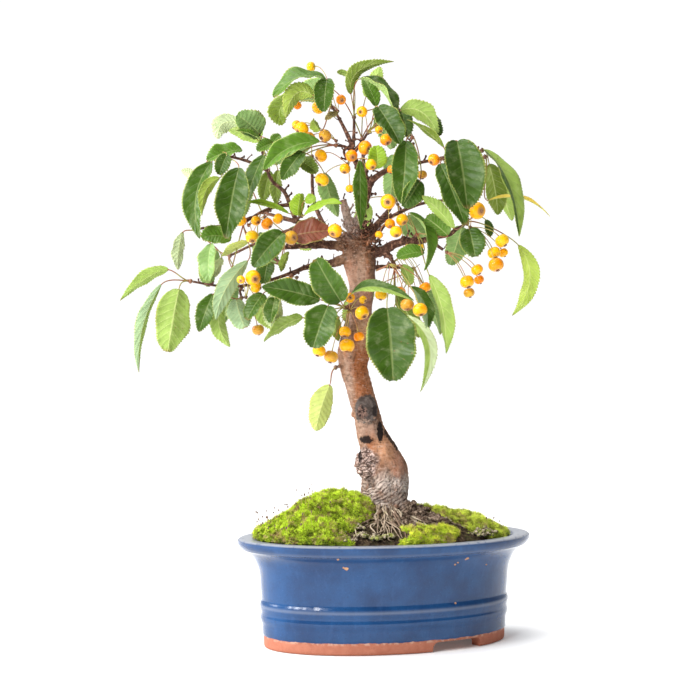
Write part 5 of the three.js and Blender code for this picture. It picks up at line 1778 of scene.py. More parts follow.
class Tone(Enum):
    """The colours that leaves turn, young to old, on the side that faces the front. The paler tones are also
    painted light: some leaves that stand in shade, and some lit through from behind, were given a paler tone
    than their own.
    """

    DARK = (0.042, 0.094, 0.008)
    OLIVE = (0.13, 0.19, 0.02)
    MID = (0.085, 0.18, 0.017)
    BRIGHT = (0.27, 0.43, 0.025)
    LIME = (0.3, 0.4, 0.06)
    LIGHT = (0.25, 0.36, 0.07)
    PALE = (0.56, 0.66, 0.36)
    BLUE = (0.26, 0.37, 0.19)
    GREY = (0.16, 0.27, 0.075)
    LEMON = (0.5, 0.58, 0.16)
    BROWN = (0.2, 0.15, 0.05)
    MAROON = (0.22, 0.065, 0.04)
    YELLOW = (0.82, 0.6, 0.08)


DARK, OLIVE, MID, BRIGHT, LIME, LIGHT, PALE, BLUE, GREY, LEMON, BROWN, MAROON, YELLOW = Tone


@dataclass(frozen=True)
class Leaf:
    """A leaf.

    Its blade starts at base and ends at tip, and may pass through a middle point. Its upper side is turned
    from the front (0) to the sky (90) and the back (180). Its other half may have a tone of its own, which
    stands partly for the under side showing where the leaf twists and partly for painted light and shade
    across its fold.
    """

    base: Place
    tip: Place
    wide: float
    turn: float
    tone: Tone
    other: Tone
    middle: Place | None


@dataclass(frozen=True)
class Growth:
    """The leaves that grow from the end of a limb, toward a direction across, up and back."""

    toward: Place
    leaves: tuple[Leaf, ...]
    limb: str
    beside: Place


def grow(
    toward: Place, *rows: tuple[float | Tone, ...], limb: str = "", beside: Place = (0, 0, 0)
) -> Growth:
    """A growth from a row for each leaf.

    Args:
        toward: The direction that the leaves grow in.
        *rows: The base and the tip, each across, up and back, then the width, the turn and the tone. A
            middle point may follow, and the other half's tone.
        limb: The limb that it grows from, where that isn't the one with the growth's own name.
        beside: How far from the limb's end it sits.

    Returns:
        The growth.
    """
    leaves = []
    for row in rows:
        tones = [value for value in row if isinstance(value, Tone)]
        sizes = tuple(value for value in row if not isinstance(value, Tone))
        leaves.append(Leaf(sizes[:3], sizes[3:6], *sizes[6:8], tones[0], tones[-1], sizes[8:] or None))
    return Growth(toward, tuple(leaves), limb, beside)


SPRAYS = {
    "crown_left": grow(
        (-0.5, 0.8, -0.4), (-24, 559, -14, -76, 543, -32, 32, 58, MID, -50, 564, -24),
        (-36, 545, -26, -64, 523, -38, 20, 140, LIME, -54, 547, -32),
        (-56, 543, -8, -66, 517, -2, 22, 20, OLIVE, -70, 531, -4),
        (-23, 562, -22, -26, 529, -30, 22, 10, DARK), (-30, 510, -28, -37, 521, -34, 12, 150, LIME),
        (-12, 528, -18, -25, 521, -24, 8, 30, BROWN),
    ),
    "crown_top": grow(
        (0, 0.9, -0.3), (1, 546, -8, 44, 579, -24, 16, 140, OLIVE, 9, 570, -18),
        (0, 563, 4, -13, 569, 0, 8, 120, LIGHT), (26, 534, 8, 13, 563, 14, 17, 30, MID),
        (10, 562, -14, 45, 521, -26, 27, 60, DARK, 33, 548, -20, LIGHT),
    ),
    "crown_right": grow(
        (0.6, 0.7, -0.2), (28, 534, -36, 50, 497, -50, 26, 10, DARK),
        (50, 530, -20, 88, 507, -34, 21, 145, LIGHT, 71, 529, -28),
        (80, 524, -8, 90, 505, -8, 14, 10, DARK), (50, 532, -2, 58, 503, -8, 17, 20, DARK),
    ),
    "leader_front": grow(
        (0, 0.3, -0.95), (10, 481, -34, 11, 411, -44, 16, 15, DARK, 10, 446, -38),
        (27, 472, -20, 26, 495, -28, 21, 20, BRIGHT),
    ),
    "side_left": grow(
        (-0.9, 0.1, -0.4), (-30, 499, -30, -86, 471, -48, 25, 35, MID, -62, 492, -40),
        (-47, 489, -42, -68, 461, -54, 20, 20, DARK), (-50, 480, -24, -33, 468, -30, 16, 25, OLIVE),
    ),
    "left_up": grow(
        (-0.2, 0.9, -0.3), (-110, 517, 4, -132, 502, -6, 19, 150, PALE, -127, 517, -2),
        (-90, 506, -4, -113, 526, -16, 29, 25, GREY), (-90, 501, -14, -114, 510, -24, 10, 60, MID),
        (-78, 496, 10, -70, 506, 8, 12, 30, MID), (-77, 498, -8, -93, 490, -14, 15, 10, MID),
        (-86, 486, -22, -106, 431, -34, 21, 18, DARK), (-80, 470, 24, -87, 440, 30, 17, 10, OLIVE),
        (-72, 471, 18, -73, 435, 22, 14, 30, OLIVE),
    ),
    "left_high": grow(
        (-0.8, 0.2, -0.5), (-108, 491, -8, -143, 480, -18, 22, 45, MID),
        (-123, 486, -24, -131, 466, -30, 16, 10, DARK), (-155, 461, 8, -168, 471, 4, 12, 150, PALE),
        (-138, 479, -22, -150, 402, -48, 26, 15, DARK, -154, 444, -36),
        (-130, 463, -36, -148, 425, -52, 14, 140, LIME, -144, 450, -44),
        (-111, 473, -42, -124, 402, -62, 33, 10, DARK),
    ),
    "left_out": grow(
        (-0.7, -0.5, -0.5), (-167, 409, -22, -172, 371, -30, 15, 130, PALE),
        (-139, 397, -32, -141, 358, -46, 21, 25, GREY), (-128, 383, -20, -135, 364, -24, 11, 150, PALE),
        (-119, 401, -22, -148, 402, -30, 23, 30, MID, -134, 405, -26),
    ),
    "left_fruit": grow(
        (-0.3, -0.8, -0.5), (-101, 399, -28, -129, 384, -38, 11, 140, LEMON),
        (-102, 380, -44, -134, 321, -64, 20, 150, BLUE, -124, 352, -54),
        (-128, 340, -44, -120, 294, -46, 17, 150, LIGHT, -131, 316, -42),
    ),
    "left_mid": grow(
        (0.2, 0.3, -0.9), (-61, 427, -16, -106, 438, -26, 12, 50, BRIGHT, -84, 436, -22),
        (-52, 425, -18, -49, 447, -24, 18, 150, BRIGHT), (-45, 440, -28, -34, 442, -30, 11, 20, BRIGHT),
        (-46, 425, -30, -8, 437, -38, 13, 50, BRIGHT, -26, 437, -34),
    ),
    "left_end": grow(
        (0.2, -0.9, -0.4), (-67, 408, -44, -97, 374, -56, 26, 15, DARK),
        (-82, 379, -38, -86, 357, -44, 20, 10, DARK), (-61, 389, -32, -69, 369, -34, 9, 140, LIME),
        limb="left",
    ),
    "left_low": grow(
        (-0.6, -0.7, -0.4), (-75, 343, -44, -79, 318, -50, 17, 10, DARK),
        (-76, 346, -34, -74, 312, -38, 22, 165, PALE), (-87, 347, -38, -103, 321, -46, 21, 20, DARK),
    ),
    "left_hook": grow(
        (0, -0.8, -0.6), (-114, 342, -42, -105, 313, -48, 24, 150, BLUE),
        (-137, 347, -42, -151, 309, -50, 19, 10, DARK),
    ),
    "trunk_front": grow(
        (-0.4, 0.2, -0.9), (-30, 341, -44, -88, 354, -68, 26, 15, DARK, -58, 349, -57),
        (-47, 323, -34, -86, 299, -42, 18, 140, LIGHT, -66, 315, -38),
        (-22, 335, -54, -37, 293, -64, 33, 12, DARK), (-9, 339, -48, -34, 382, -60, 33, 10, DARK),
        (-14, 326, -27, -12, 300, -32, 16, 150, LIGHT),
        (1, 346, -44, 64, 340, -62, 17, 55, DARK, 26, 354, -54, LIGHT), limb="front_spur",
    ),
    "trunk_low": grow(
        (-0.8, -0.5, -0.4), (-20, 256, -16, -34, 210, -22, 25, 150, LEMON), limb="stub",
    ),
    "right_under": grow(
        (0.3, -0.8, -0.5), (37, 333, -72, 43, 260, -88, 50, 8, DARK),
        (54, 326, -46, 70, 248, -56, 15, 140, LIGHT, 79, 295, -52, PALE),
        (46, 346, -34, 69, 303, -38, 19, 150, OLIVE), (52, 376, -16, 61, 356, -20, 14, 150, LIGHT),
        (60, 354, -44, 77, 309, -50, 17, 45, DARK, 75, 336, -47, BLUE),
    ),
    "right_mid": grow(
        (0.1, 0.5, -0.85), (59, 428, -36, 74, 370, -52, 22, 60, MID, 77, 405, -44),
        (98, 405, -36, 76, 423, -44, 22, 150, MID), (74, 389, -30, 47, 383, -32, 18, 30, MID),
        (79, 366, -40, 96, 287, -58, 22, 140, LIGHT, 93, 328, -50),
    ),
    "right_end": grow(
        (0.2, 0.9, 0.2), (119, 412, -38, 125, 384, -44, 26, 10, DARK),
        (136, 421, -12, 140, 404, -14, 10, 30, DARK),
        (168, 396, -16, 162, 325, -34, 19, 140, LIME, 180, 361, -26),
        (104, 412, -52, 72, 445, -66, 15, 140, LIGHT), limb="right",
    ),
    "right_high": grow(
        (0.1, 0.2, -0.95), (90, 477, -54, 115, 415, -70, 28, 8, DARK),
        (107, 500, -62, 117, 432, -82, 41, 6, DARK), (94, 493, -42, 57, 521, -52, 14, 120, OLIVE),
    ),
    "right_far": grow(
        (0.6, 0.5, -0.5), (134, 491, -52, 169, 404, -78, 28, 50, LIGHT, 159, 457, -66, DARK),
        (139, 477, -34, 148, 426, -38, 23, 150, OLIVE),
    ),
    "right_top": grow(
        (0.1, 0.8, -0.6), (56, 500, -34, 51, 437, -50, 28, 10, DARK),
        (70, 460, -42, 53, 434, -48, 23, 15, DARK),
    ),
    "far_left": grow(
        (-0.95, 0.1, -0.3), (-181, 371, -46, -230, 340, -54, 15, 145, LIGHT, -203, 363, -50),
        (-188, 357, -50, -211, 268, -62, 13, 140, BLUE, -207, 315, -56, LIGHT),
        (-171, 352, -60, -182, 289, -74, 36, 165, LIGHT),
    ),
    "back_right": grow(
        (0.1, 0.4, 0.9), (44, 486, 76, 40, 440, 92, 26, 170, GREY),
        (52, 420, 96, 80, 400, 108, 28, 150, GREY), (16, 440, 92, 4, 400, 104, 24, 160, LIGHT),
    ),
    "back_right_far": grow(
        (0.5, 0.2, 0.8), (104, 486, 66, 116, 440, 82, 36, 170, GREY),
        (142, 470, 56, 162, 420, 68, 24, 160, LIGHT), (112, 414, 74, 100, 376, 84, 26, 172, GREY),
    ),
    "back_left": grow(
        (-0.3, 0.2, 0.9), (-108, 466, 82, -118, 416, 98, 34, 168, GREY),
        (-64, 408, 84, -38, 392, 96, 26, 150, LIGHT), (-92, 406, 90, -72, 378, 104, 24, 160, GREY),
    ),
    "back_left_low": grow(
        (-0.6, -0.2, 0.7), (-138, 392, 62, -142, 354, 72, 24, 165, GREY),
        (-116, 364, 74, -126, 318, 84, 24, 165, GREY), (-96, 346, 60, -74, 312, 66, 24, 170, LIGHT),
    ),
    "back_left_high": grow(
        (-0.2, 0.4, 0.9), (-40, 498, 72, -82, 478, 86, 26, 150, GREY),
        (-88, 504, 54, -124, 514, 62, 26, 160, LIGHT), (-26, 468, 78, -12, 424, 92, 20, 160, GREY),
    ),
    "back_low": grow(
        (0.3, -0.3, 0.9), (42, 326, 74, 44, 268, 92, 44, 172, GREY),
        (76, 352, 72, 90, 306, 84, 22, 160, GREY), (22, 352, 88, -6, 320, 96, 26, 165, LIGHT),
    ),
    "back_top": grow(
        (0, 0.4, 0.9), (30, 526, 52, 42, 492, 62, 26, 165, GREY),
        (16, 544, 44, 30, 574, 52, 20, 160, LIGHT), (-20, 552, 40, -54, 544, 50, 26, 150, GREY),
    ),
    "leaf_red": grow(
        (0.1, -0.3, -0.95), (-58, 405, -19, -20, 410, -19, 30, 12, MAROON), limb="left_mid",
        beside=(8, -4, 1),
    ),
    "leaf_yellow": grow(
        (0.6, -0.7, 0.1), (138, 440, -46, 200, 424, -52, 10, 60, YELLOW, 172, 442, -50), limb="right_far",
        beside=(3, -6, 2),
    ),
}


@dataclass(frozen=True)
class LeafFlesh:
    """One side of a leaf: its midrib and side veins, blotches, and a browned tip and margin, with painted
    shade down one side of each lane between the veins and a painted highlight along the edge.
    """

    name: str
    gloss: float
    vein: float  # how much paler the veins are
    raised: float  # whether the veins stand up (1) or lie sunk (-1)

    def material(self) -> Material:
        """The finish of one side."""
        paint = Paint(self.name, Specular_IOR_Level=0.2)
        uv = paint.map()
        tone = paint.tone()
        out = ((uv.part(0) - 0.5) * 2.0).of("ABSOLUTE")
        run = uv.part(1)
        wander = (paint.noise(7, 2) - 0.5) * 0.05
        lane = ((run + wander) * VEINS - out * VEIN_SLANT).of("FRACT")
        near = (lane - 0.5).of("ABSOLUTE")
        side = near.ease(0.07, 0.01) * out.ease(1.0, 0.55)
        rib = out.ease(0.085, 0.015)
        net = paint.cells(1.5, "DISTANCE_TO_EDGE").ease(0.09, 0.0)
        veins = rib.of("MAXIMUM", side * 0.7)
        pale = rib.of("MAXIMUM", side * (0.5 + 0.25 * self.raised))
        blotch = paint.noise(9, 4)
        colour = tone.mix((1.0, 1.0, 0.6), blotch.ease(0.5, 0.75) * 0.09)
        colour = colour.mix(tone * 0.62, blotch.ease(0.5, 0.3) * 0.5)
        # painted shade down one side of each lane between the side veins, as light would fall across the
        # quilted blade
        colour = colour.mix(tone * 0.72, lane.ease(0.5, 0.62) * lane.ease(0.85, 0.62) * 0.35)
        colour = colour.mix((0.62, 0.66, 0.28), pale * self.vein)
        colour = colour.mix((0.5, 0.56, 0.2), net * self.vein * 0.1)
        # a painted highlight along the margin
        colour = colour.mix((0.5, 0.56, 0.13), out.ease(0.9, 0.99) * 0.45)
        edge = out.ease(0.9, 1.0) * 0.4 + run.ease(0.93, 1.0) * 0.6
        colour = colour.mix((0.26, 0.16, 0.05), edge * paint.noise(12, 3).ease(0.46, 0.62))
        spots = paint.cells(7.5).ease(0.13, 0.07) * paint.noise(30).ease(0.52, 0.62)
        colour = colour.mix((0.16, 0.085, 0.03), spots * 0.8)
        roughness = (blotch * 0.2 + self.gloss).ease(0, 1, 0.0, 1.0)
        relief = (veins * 0.7 - near.ease(0.0, 0.5) * 0.6) * self.raised
        return paint.finish(colour, roughness, relief, 0.26)


@dataclass(frozen=True)
class StalkSkin:
    """Thin stalks, green turning red where the sun reaches."""

    name: str
    green: Colour
    red: Colour

    def material(self) -> Material:
        """The stalks' finish."""
        paint = Paint(self.name)
        share = paint.noise(14, 3).ease(0.42, 0.6)
        colour = paint.between(self.green, self.red, share)
        return paint.finish(colour, paint.matt(5, 0.35, 0.6), paint.noise(1.5, 3), 0.3)


def leaf_looks() -> list[Material]:
    """The finishes of a spray in the order of its marks: upper side, under side, stalk and bud scales."""
    return [
        LeafFlesh("leaf_upper", 0.3, 0.16, -1.0).material(),
        LeafFlesh("leaf_under", 0.5, 0.36, 1.0).material(),
        StalkSkin("leaf_stalk", (0.26, 0.24, 0.05), (0.24, 0.07, 0.025)).material(),
        StalkSkin("bud_scales", (0.12, 0.06, 0.03), (0.22, 0.085, 0.04)).material(),
    ]


@dataclass
class Blade:
    """One leaf as a thin toothed blade, folded along its midrib, on its stalk."""

    leaf: Leaf
    draft: Draft
    arch: float = 0.07
    thick: float = 0.36
    tooth: float = 2.7  # from tooth to tooth
    columns: tuple[float, ...] = (-1, -0.86, -0.62, -0.34, -0.1, 0, 0.1, 0.34, 0.62, 0.86, 1)

    def __post_init__(self) -> None:
        """Works out the midrib's curve and the way that the blade faces."""
        leaf = self.leaf
        start, end = at(*leaf.base), at(*leaf.tip)
        chord = end - start
        along = chord.normalized()
        front = (Vector((0, -1, 0)) + along * along.y).normalized()
        sky = front.cross(along)
        middle = (leaf.base[0] + leaf.tip[0]) / 2
        if sky.dot(Vector((copysign(0.6, middle) if middle else 0, 0, 0.8))) < 0:
            sky.negate()
        turn = radians(leaf.turn)
        self.face = front * cos(turn) + sky * sin(turn)
        arched = (start + end) / 2 + self.face * (self.arch * chord.length)
        centre = at(*leaf.middle) if leaf.middle else arched
        self.curve = (start, centre * 2 - start / 2 - end / 2, end)
        self.length = sum((self.spine((i + 1) / 12) - self.spine(i / 12)).length for i in range(12))
        self.dice = Random(f"{leaf.base}{leaf.tip}")
        self.point = min(1.0, max(0.15, 1.5 - 2.1 * leaf.wide / self.length))
        self.twist = self.dice.uniform(-0.5, 0.5)
        self.fold = self.dice.uniform(0.28, 0.62)
        self.uneven = self.dice.uniform(0, 100)

    def spine(self, share: float) -> Vector:
        """A point of the midrib."""
        return bezier(self.curve, share)

    def heading(self, share: float) -> Vector:
        """The way that the midrib runs at a share of it."""
        start, control, end = self.curve
        return ((control - start) * (1 - share) + (end - control) * share).normalized()

    def half_width(self, share: float) -> float:
        """Half the blade's width: widest below the middle, drawn out to a point.

        Args:
            share: How far along the blade.

        Returns:
            The width there, from the midrib to the edge.
        """
        swell = max(sin(pi * min(max(share, 0.0), 1.0) ** 0.94), 0.0)
        tip = max(0.0, (share - 0.62) / 0.38) ** 1.5
        drawn = 1.0 - 0.5 * self.point * tip * (1 - max(0.0, share - 0.93) * 4)
        return self.leaf.wide / 2 * swell ** lerp(0.38, 0.7, self.point) * (1.02 - 0.03 * share) * drawn

    def tones(self) -> tuple[list[Colour], list[Colour]]:
        """The colours of the upper and the under side, each of the left and the right half."""
        # the other half's tone paints light and shade across the fold of some leaves, and on others shows the
        # under side where the leaf twists
        halves = [self.leaf.tone.value, self.leaf.other.value]
        shift = self.dice.uniform(-0.1, 0.12)
        halves = [tuple(c * (1 + shift) for c in half) for half in halves]
        if self.leaf.turn > 90:
            return [blend(Tone.DARK.value, half, 0.35) for half in halves], halves
        return halves, [blend(half, (0.27, 0.4, 0.14), 0.6) for half in halves]

    def build(self) -> None:
        """Adds the blade to its draft."""
        count = max(9, round(self.length / self.tooth)) * 3
        dice = self.dice
        ranges = ((0.05, 0.16), (0, 6), (-0.1, 0.55), (9, 17))
        wave, phase, curl, pitch = (dice.uniform(*limits) for limits in ranges)
        spread = cos(0.34) / cos(self.fold)
        uppers, unders = self.tones()
        rings = []
        for i in range(count + 1):
            share = lerp(0.006, 0.9995, 1 - (1 - i / count) ** 1.3)
            along = self.heading(share)
            up = (self.face - along * self.face.dot(along)).normalized()
            up = up * cos(self.twist * share) + along.cross(up) * sin(self.twist * share)
            side = along.cross(up)
            half = self.half_width(share) * spread
            reach = min(1.0, half / 3.5)
            step = i % 3  # each tooth climbs for two rows and drops back in one
            ring = [[], []]
            for c in self.columns:
                edge = abs(c) == 1
                bulge = 0.16 * noise.noise(Vector((share * 4, copysign(3, c), self.uneven)))
                nick = (-0.5, 0.0, 0.7)[step] * reach * dice.uniform(0.2, 1.6) if edge else 0.0
                wide = half * (1 + bulge) + nick
                rise = (abs(c) ** 1.25 - curl * c**4) * sin(self.fold) * half
                ripple = wave * half * c * c * sin(share * pitch + phase + (2.0 if c > 0 else 0))
                lane = share * VEINS - abs(c) * VEIN_SLANT
                quilt = -0.42 * reach * abs(c) * (1 - abs(c)) * 4 * cos(tau * (lane - 0.5))
                point = self.spine(share) + side * (c * wide * cos(self.fold))
                point += up * (rise + ripple + quilt)
                point += along * (0.9 * reach if edge and step == 2 else 0.0)
                for layer, level in zip(ring, (0.5, -0.5)):
                    layer.append(point + up * (level * self.thick * (0.5 if edge else 1.0)))
            rings.append((share, ring))
        self.weave(rings, uppers, unders)

    def weave(self, rings: list, uppers: list[Colour], unders: list[Colour]) -> None:
        """Joins the blade's rows into its two sides and its edge.

        Args:
            rings: For each row, its share of the length, and its points above and below.
            uppers: The colours of the upper side's left and right half.
            unders: The colours of the under side's halves.
        """
        draft, width = self.draft, len(self.columns)
        tops, bottoms = [], []
        for share, (upper, under) in rings:
            places = [((c + 1) / 2, share) for c in self.columns]
            for rows, layer, halves in ((tops, upper, uppers), (bottoms, under, unders)):
                start = len(draft.points)
                for c, point, place in zip(self.columns, layer, places):
                    draft.add([point], halves[0] if c <= 0 else halves[1], [place])
                rows.append(start)
        for a, b, c, d in zip(tops, tops[1:], bottoms, bottoms[1:]):
            for j in range(width - 1):
                draft.face((a + j, a + j + 1, b + j + 1, b + j), 0)
                draft.face((c + j + 1, c + j, d + j, d + j + 1), 1)
            draft.face((c, a, b, d), 1)
            draft.face((a + width - 1, c + width - 1, d + width - 1, b + width - 1), 1)
        for a, c, turned in ((tops[0], bottoms[0], False), (tops[-1], bottoms[-1], True)):
            loop = [a + j for j in range(width)] + [c + j for j in reversed(range(width))]
            draft.face(loop if turned else loop[::-1], 1)

    def stalk(self, spur: Vector, toward: Vector) -> None:
        """Adds the stalk.

        Args:
            spur: Where it starts.
            toward: The way that it leaves the spur.
        """
        start = self.spine(0)
        reach = (spur - start).length
        bend = spur + toward * min(9.0, reach * 0.4)
        approach = start - self.heading(0) * (reach * 0.25)
        line = (spur, bend, approach, start + self.heading(0) * 1.6)
        steps = max(6, round(reach / 2))
        path = [bezier(line, i / steps) for i in range(steps + 1)]
        self.draft.skin(rings_along(path, lambda s: 0.72 - 0.2 * s + 0.5 * max(0.0, 0.12 - s) * 8, 6), 2)


@dataclass
class LeafSpray:
    """A tuft of leaves on a short spur at the end of a twig."""

    name: str
    growth: Growth
    looks: list[Material]
    knob: float = 2.0
    gap: float = 0.4

    def build(self, node: str, slot: str) -> None:
        """Makes the spray.

        Args:
            node: The solid that it stands for.
            slot: The name of the material slot meant for it; not used.
        """
        draft = Draft()
        spur = beyond(self.growth.limb or self.name, self.knob + self.gap, self.growth.beside)
        x, z, y = self.growth.toward
        toward = Vector((x, y, z)).normalized()
        draft.lump(spur, (2.0, 2.0, 2.3), 8, mark=3, rough=0.35)
        for i in range(7):
            scale = ray(i * 2.4, 0.4).normalized()
            draft.lump(spur + scale * 1.5 - UP * 0.4, (0.9, 0.9, 1.5), 5, mark=3)
        for leaf in self.growth.leaves:
            blade = Blade(leaf, draft)
            blade.build()
            blade.stalk(spur, toward)
        settle(draft.piece(f"spray_{self.name}", *self.looks), [node])


# ---- Fruit ----


@dataclass(frozen=True)
class Bunch:
    """Fruit that hang beside a limb's end: each its middle across, up and back, and its radius."""

    beside: Place
    fruits: tuple[tuple[float, float, float, float], ...]
    limb: str


BUNCH_ROWS = (
    # name, limb, how far beside its end the bunch hangs, fruit
    ("crown_left", "crown_left", (4.5, -3, 4), (-32, 533, 4, 6.5), (-9, 541, -14, 5), (-39, 574, 8, 5),
     (-53, 536, 8, 5)),
    ("crown_right", "crown_right", (0, -2, -6), (12, 529, -15, 5.5), (29, 511, -16, 4),
     (36, 501, -26, 6)),
    ("side_left", "side_left", (0, 5, 3), (-53, 515, -10, 5.5), (-48, 512, -22, 7), (-40, 503, -10, 6),
     (-25, 505, -14, 6.5)),
    ("leader", "leader_stub", (0, -2.6, -1), (1.5, 485, -20, 6), (15, 493, -22, 7), (-5, 472, -16, 5.5),
     (0, 452, -14, 4.5), (21, 476, -42, 5.5), (-29, 485, -16, 6.5), (-28, 461, -20, 7)),
    ("right_top", "right_top", (1, -6, 1), (42, 471, -26, 5), (72, 466, -20, 5)),
    ("right_high", "right_high", (-1, -5.2, -1), (84, 481, -48, 6)),
    ("right_end", "right", (3, -4, -3), (127, 430, -34, 8.5), (152, 400, -34, 7), (144, 388, -38, 6.5),
     (153, 388, -26, 5), (146, 376, -50, 7.5)),
    ("right_low", "right_low", (2, -1.5, 0), (127, 371, -28, 6), (117, 359, -36, 7), (129, 361, -18, 5),
     (119, 348, -24, 5.5)),
    ("right_under", "right_under", (-5, 0, -5), (31, 346, -30, 6), (57, 336, -58, 6.5),
     (70, 331, -66, 7), (75, 353, -28, 6)),
    ("junction_right", "junction_right", (1.5, 1.5, -1.5), (38, 439, -34, 7.5), (52, 421, -34, 6),
     (40, 417, -40, 5), (46, 409, -46, 6), (29, 406, -30, 4)),
    ("junction_front", "junction_front", (-1, 0, -2.2), (-15, 410, -36, 7)),
    ("trunk_front", "front_spur", (4.5, -2.5, 0.5), (0, 343, -26, 5), (13, 341, -28, 4),
     (12, 328, -36, 7), (-5, 309, -34, 6), (-3, 295, -38, 7.5), (9, 304, -26, 5.5),
     (-31, 290, -46, 6.5), (-19, 284, -38, 7)),
    ("left_end", "left", (5, 1, 0), (-59, 403, -34, 7)),
    ("left_hook", "left_hook", (4.4, 0.4, 0), (-97, 363, -54, 7.5), (-94, 354, -37, 6),
     (-109, 361, -62, 4), (-92, 311, -28, 6)),
    ("left_fruit", "left_fruit", (4.5, -2.5, -1), (-110, 421, -22, 6.5), (-94, 420, -22, 5),
     (-83, 417, -22, 6), (-72, 422, -18, 5.5), (-98, 404, -38, 6.5)),
    ("left_low", "left_low", (5, -2, 0), (-62, 358, -40, 6)),
    ("back_right", "back_right", (1, -5, 0), (60, 398, 84, 6.5), (68, 394, 76, 6), (54, 386, 80, 6.5)),
    ("back_left", "back_left", (2, -5, 0), (-80, 400, 80, 6.5), (-98, 404, 78, 6)),
    ("back_low", "back_low", (-5, -4, -2), (58, 336, 56, 6.5), (50, 349, 54, 6)),
)
BUNCHES = {name: Bunch(beside, tuple(fruits), limb) for name, limb, beside, *fruits in BUNCH_ROWS}


class Ripeness(Enum):
    """The colours of the fruit."""

    RIPE = (0.92, 0.42, 0.002)
    GOLDEN = (0.9, 0.5, 0.005)
    AMBER = (0.88, 0.27, 0.001)
    PEACH = (0.6, 0.3, 0.03)


@dataclass(frozen=True)
class FruitSkin:
    """Glossy waxy skin, ruddy toward the calyx, with pale specks."""

    blush: Colour = (0.62, 0.12, 0.01)
    end: Colour = (0.4, 0.2, 0.1)

    def material(self) -> Material:
        """The fruit's finish."""
        paint = Paint("fruit_skin", Coat_Weight=0.2, Coat_Roughness=0.08, Specular_IOR_Level=0.2)
        tone = paint.tone()
        run = paint.map().part(1)
        colour = tone.mix(self.blush, paint.noise(7, 4).ease(0.5, 0.72) * 0.45)
        colour = colour.mix((0.95, 0.55, 0.004), paint.noise(9, 2).ease(0.5, 0.3) * 0.4)
        colour = colour.mix((0.6, 0.5, 0.03), run.ease(0.25, 0.0) * 0.6)
        colour = colour.mix(self.end, run.ease(0.82, 0.94) * 0.7)
        colour = colour.mix((0.9, 0.68, 0.12), paint.cells(1.7).ease(0.16, 0.08) * 0.12)
        colour = colour.mix((0.2, 0.09, 0.03), paint.cells(9).ease(0.1, 0.05) * 0.7)
        return paint.finish(colour, paint.noise(4, 3).ease(0.3, 0.7, 0.2, 0.36), paint.noise(2.5, 3), 0.25)


@dataclass
class FruitBunch:
    """Small round fruit on thin stalks from one hub."""

    name: str
    plan: Bunch
    finishes: list[Material]
    knob: float = 1.7
    gap: float = 0.4
    draft: Draft = field(default_factory=Draft)
    basket: tuple[tuple[Ripeness, int], ...] = tuple(zip(Ripeness, (4, 2, 2, 1)))  # of each colour

    def __post_init__(self) -> None:
        """Works out where the stalks part."""
        self.hub = beyond(self.plan.limb, self.knob + self.gap, self.plan.beside)
        self.dice = Random(self.name)

    def fruit(self, centre: Vector, radius: float) -> None:
        """Adds one fruit on its stalk.

        Args:
            centre: The fruit's middle.
            radius: Its radius.
        """
        hub = self.hub
        reach = (hub - centre).length
        away = (centre - hub).normalized()
        axis = (away + Vector((0, 0, -0.9))).normalized()
        leave = (away + Vector((0, 0, 0.5))).normalized()
        top = centre - axis * (radius * 0.72)
        line = (hub, hub + leave * (reach * 0.3), top - axis * (reach * 0.25), top)
        path = [bezier(line, i / 12) for i in range(13)]

        def thick(share: float) -> float:
            """The stalk's radius, which swells at both its ends."""
            return 0.42 + 0.35 * max(0.0, 0.15 - share) * 6 + 0.3 * max(0.0, share - 0.88) * 6

        self.draft.skin(rings_along(path, thick, 6), 2)
        tone = self.dice.choice([kind for kind, count in self.basket for _ in range(count)]).value
        side, third = self.across(axis)
        rings = []
        for i in range(1, 15):
            polar = pi * i / 15
            dimples = 0.26 * exp(-((polar / 0.42) ** 2)) - 0.2 * exp(-(((pi - polar) / 0.4) ** 2))
            level = radius * (dimples - 0.93 * cos(polar))
            ring = []
            for j in range(18):
                angle = tau * j / 18
                wide = radius * sin(polar) * (1 + 0.015 * cos(5 * angle)) * 1.01
                across, back = side * (wide * cos(angle)), third * (wide * sin(angle))
                ring.append(centre + axis * level + across + back)
            rings.append(ring)
        self.draft.skin(rings, 0, tone, along=True)
        self.calyx(centre + axis * (radius * 0.78), axis, radius)

    def across(self, axis: Vector) -> tuple[Vector, Vector]:
        """Two ways that are square to an axis and to each other."""
        side = axis.orthogonal().normalized()
        return side, axis.cross(side)

    def calyx(self, end: Vector, axis: Vector, radius: float) -> None:
        """Adds the dried calyx: a low cup with five points.

        Args:
            end: Where it sits.
            axis: The way that it points.
            radius: The fruit's radius.
        """
        side, third = self.across(axis)
        self.draft.lump(end - axis * 0.15, Vector(WHITE) * (radius * 0.15), 5, mark=1)
        for k in range(5):
            angle = tau * k / 5
            out = side * cos(angle) + third * sin(angle)
            root = end + out * (radius * 0.12)
            tip = end + out * (radius * 0.26) + axis * (radius * 0.14)
            path = [root, root.lerp(tip, 0.6) + axis * (radius * 0.05), tip]
            self.draft.skin(rings_along(path, lambda s: radius * lerp(0.1, 0.02, s), 5), 1)

    def build(self) -> None:
        """Makes the bunch."""
        draft, hub = self.draft, self.hub
        draft.lump(hub, (1.7, 1.7, 1.9), 7, mark=3, rough=0.4)
        for i in range(5):
            draft.lump(hub + ray(i * 2.4, 0.3) * 1.3, (0.7, 0.7, 1.1), 5, mark=3)
        for *place, radius in self.plan.fruits:
            self.fruit(at(*place), radius)
        settle(draft.piece(f"bunch_{self.name}", *self.finishes), [f"fruit_{self.name}"])


# ---- The studio ----


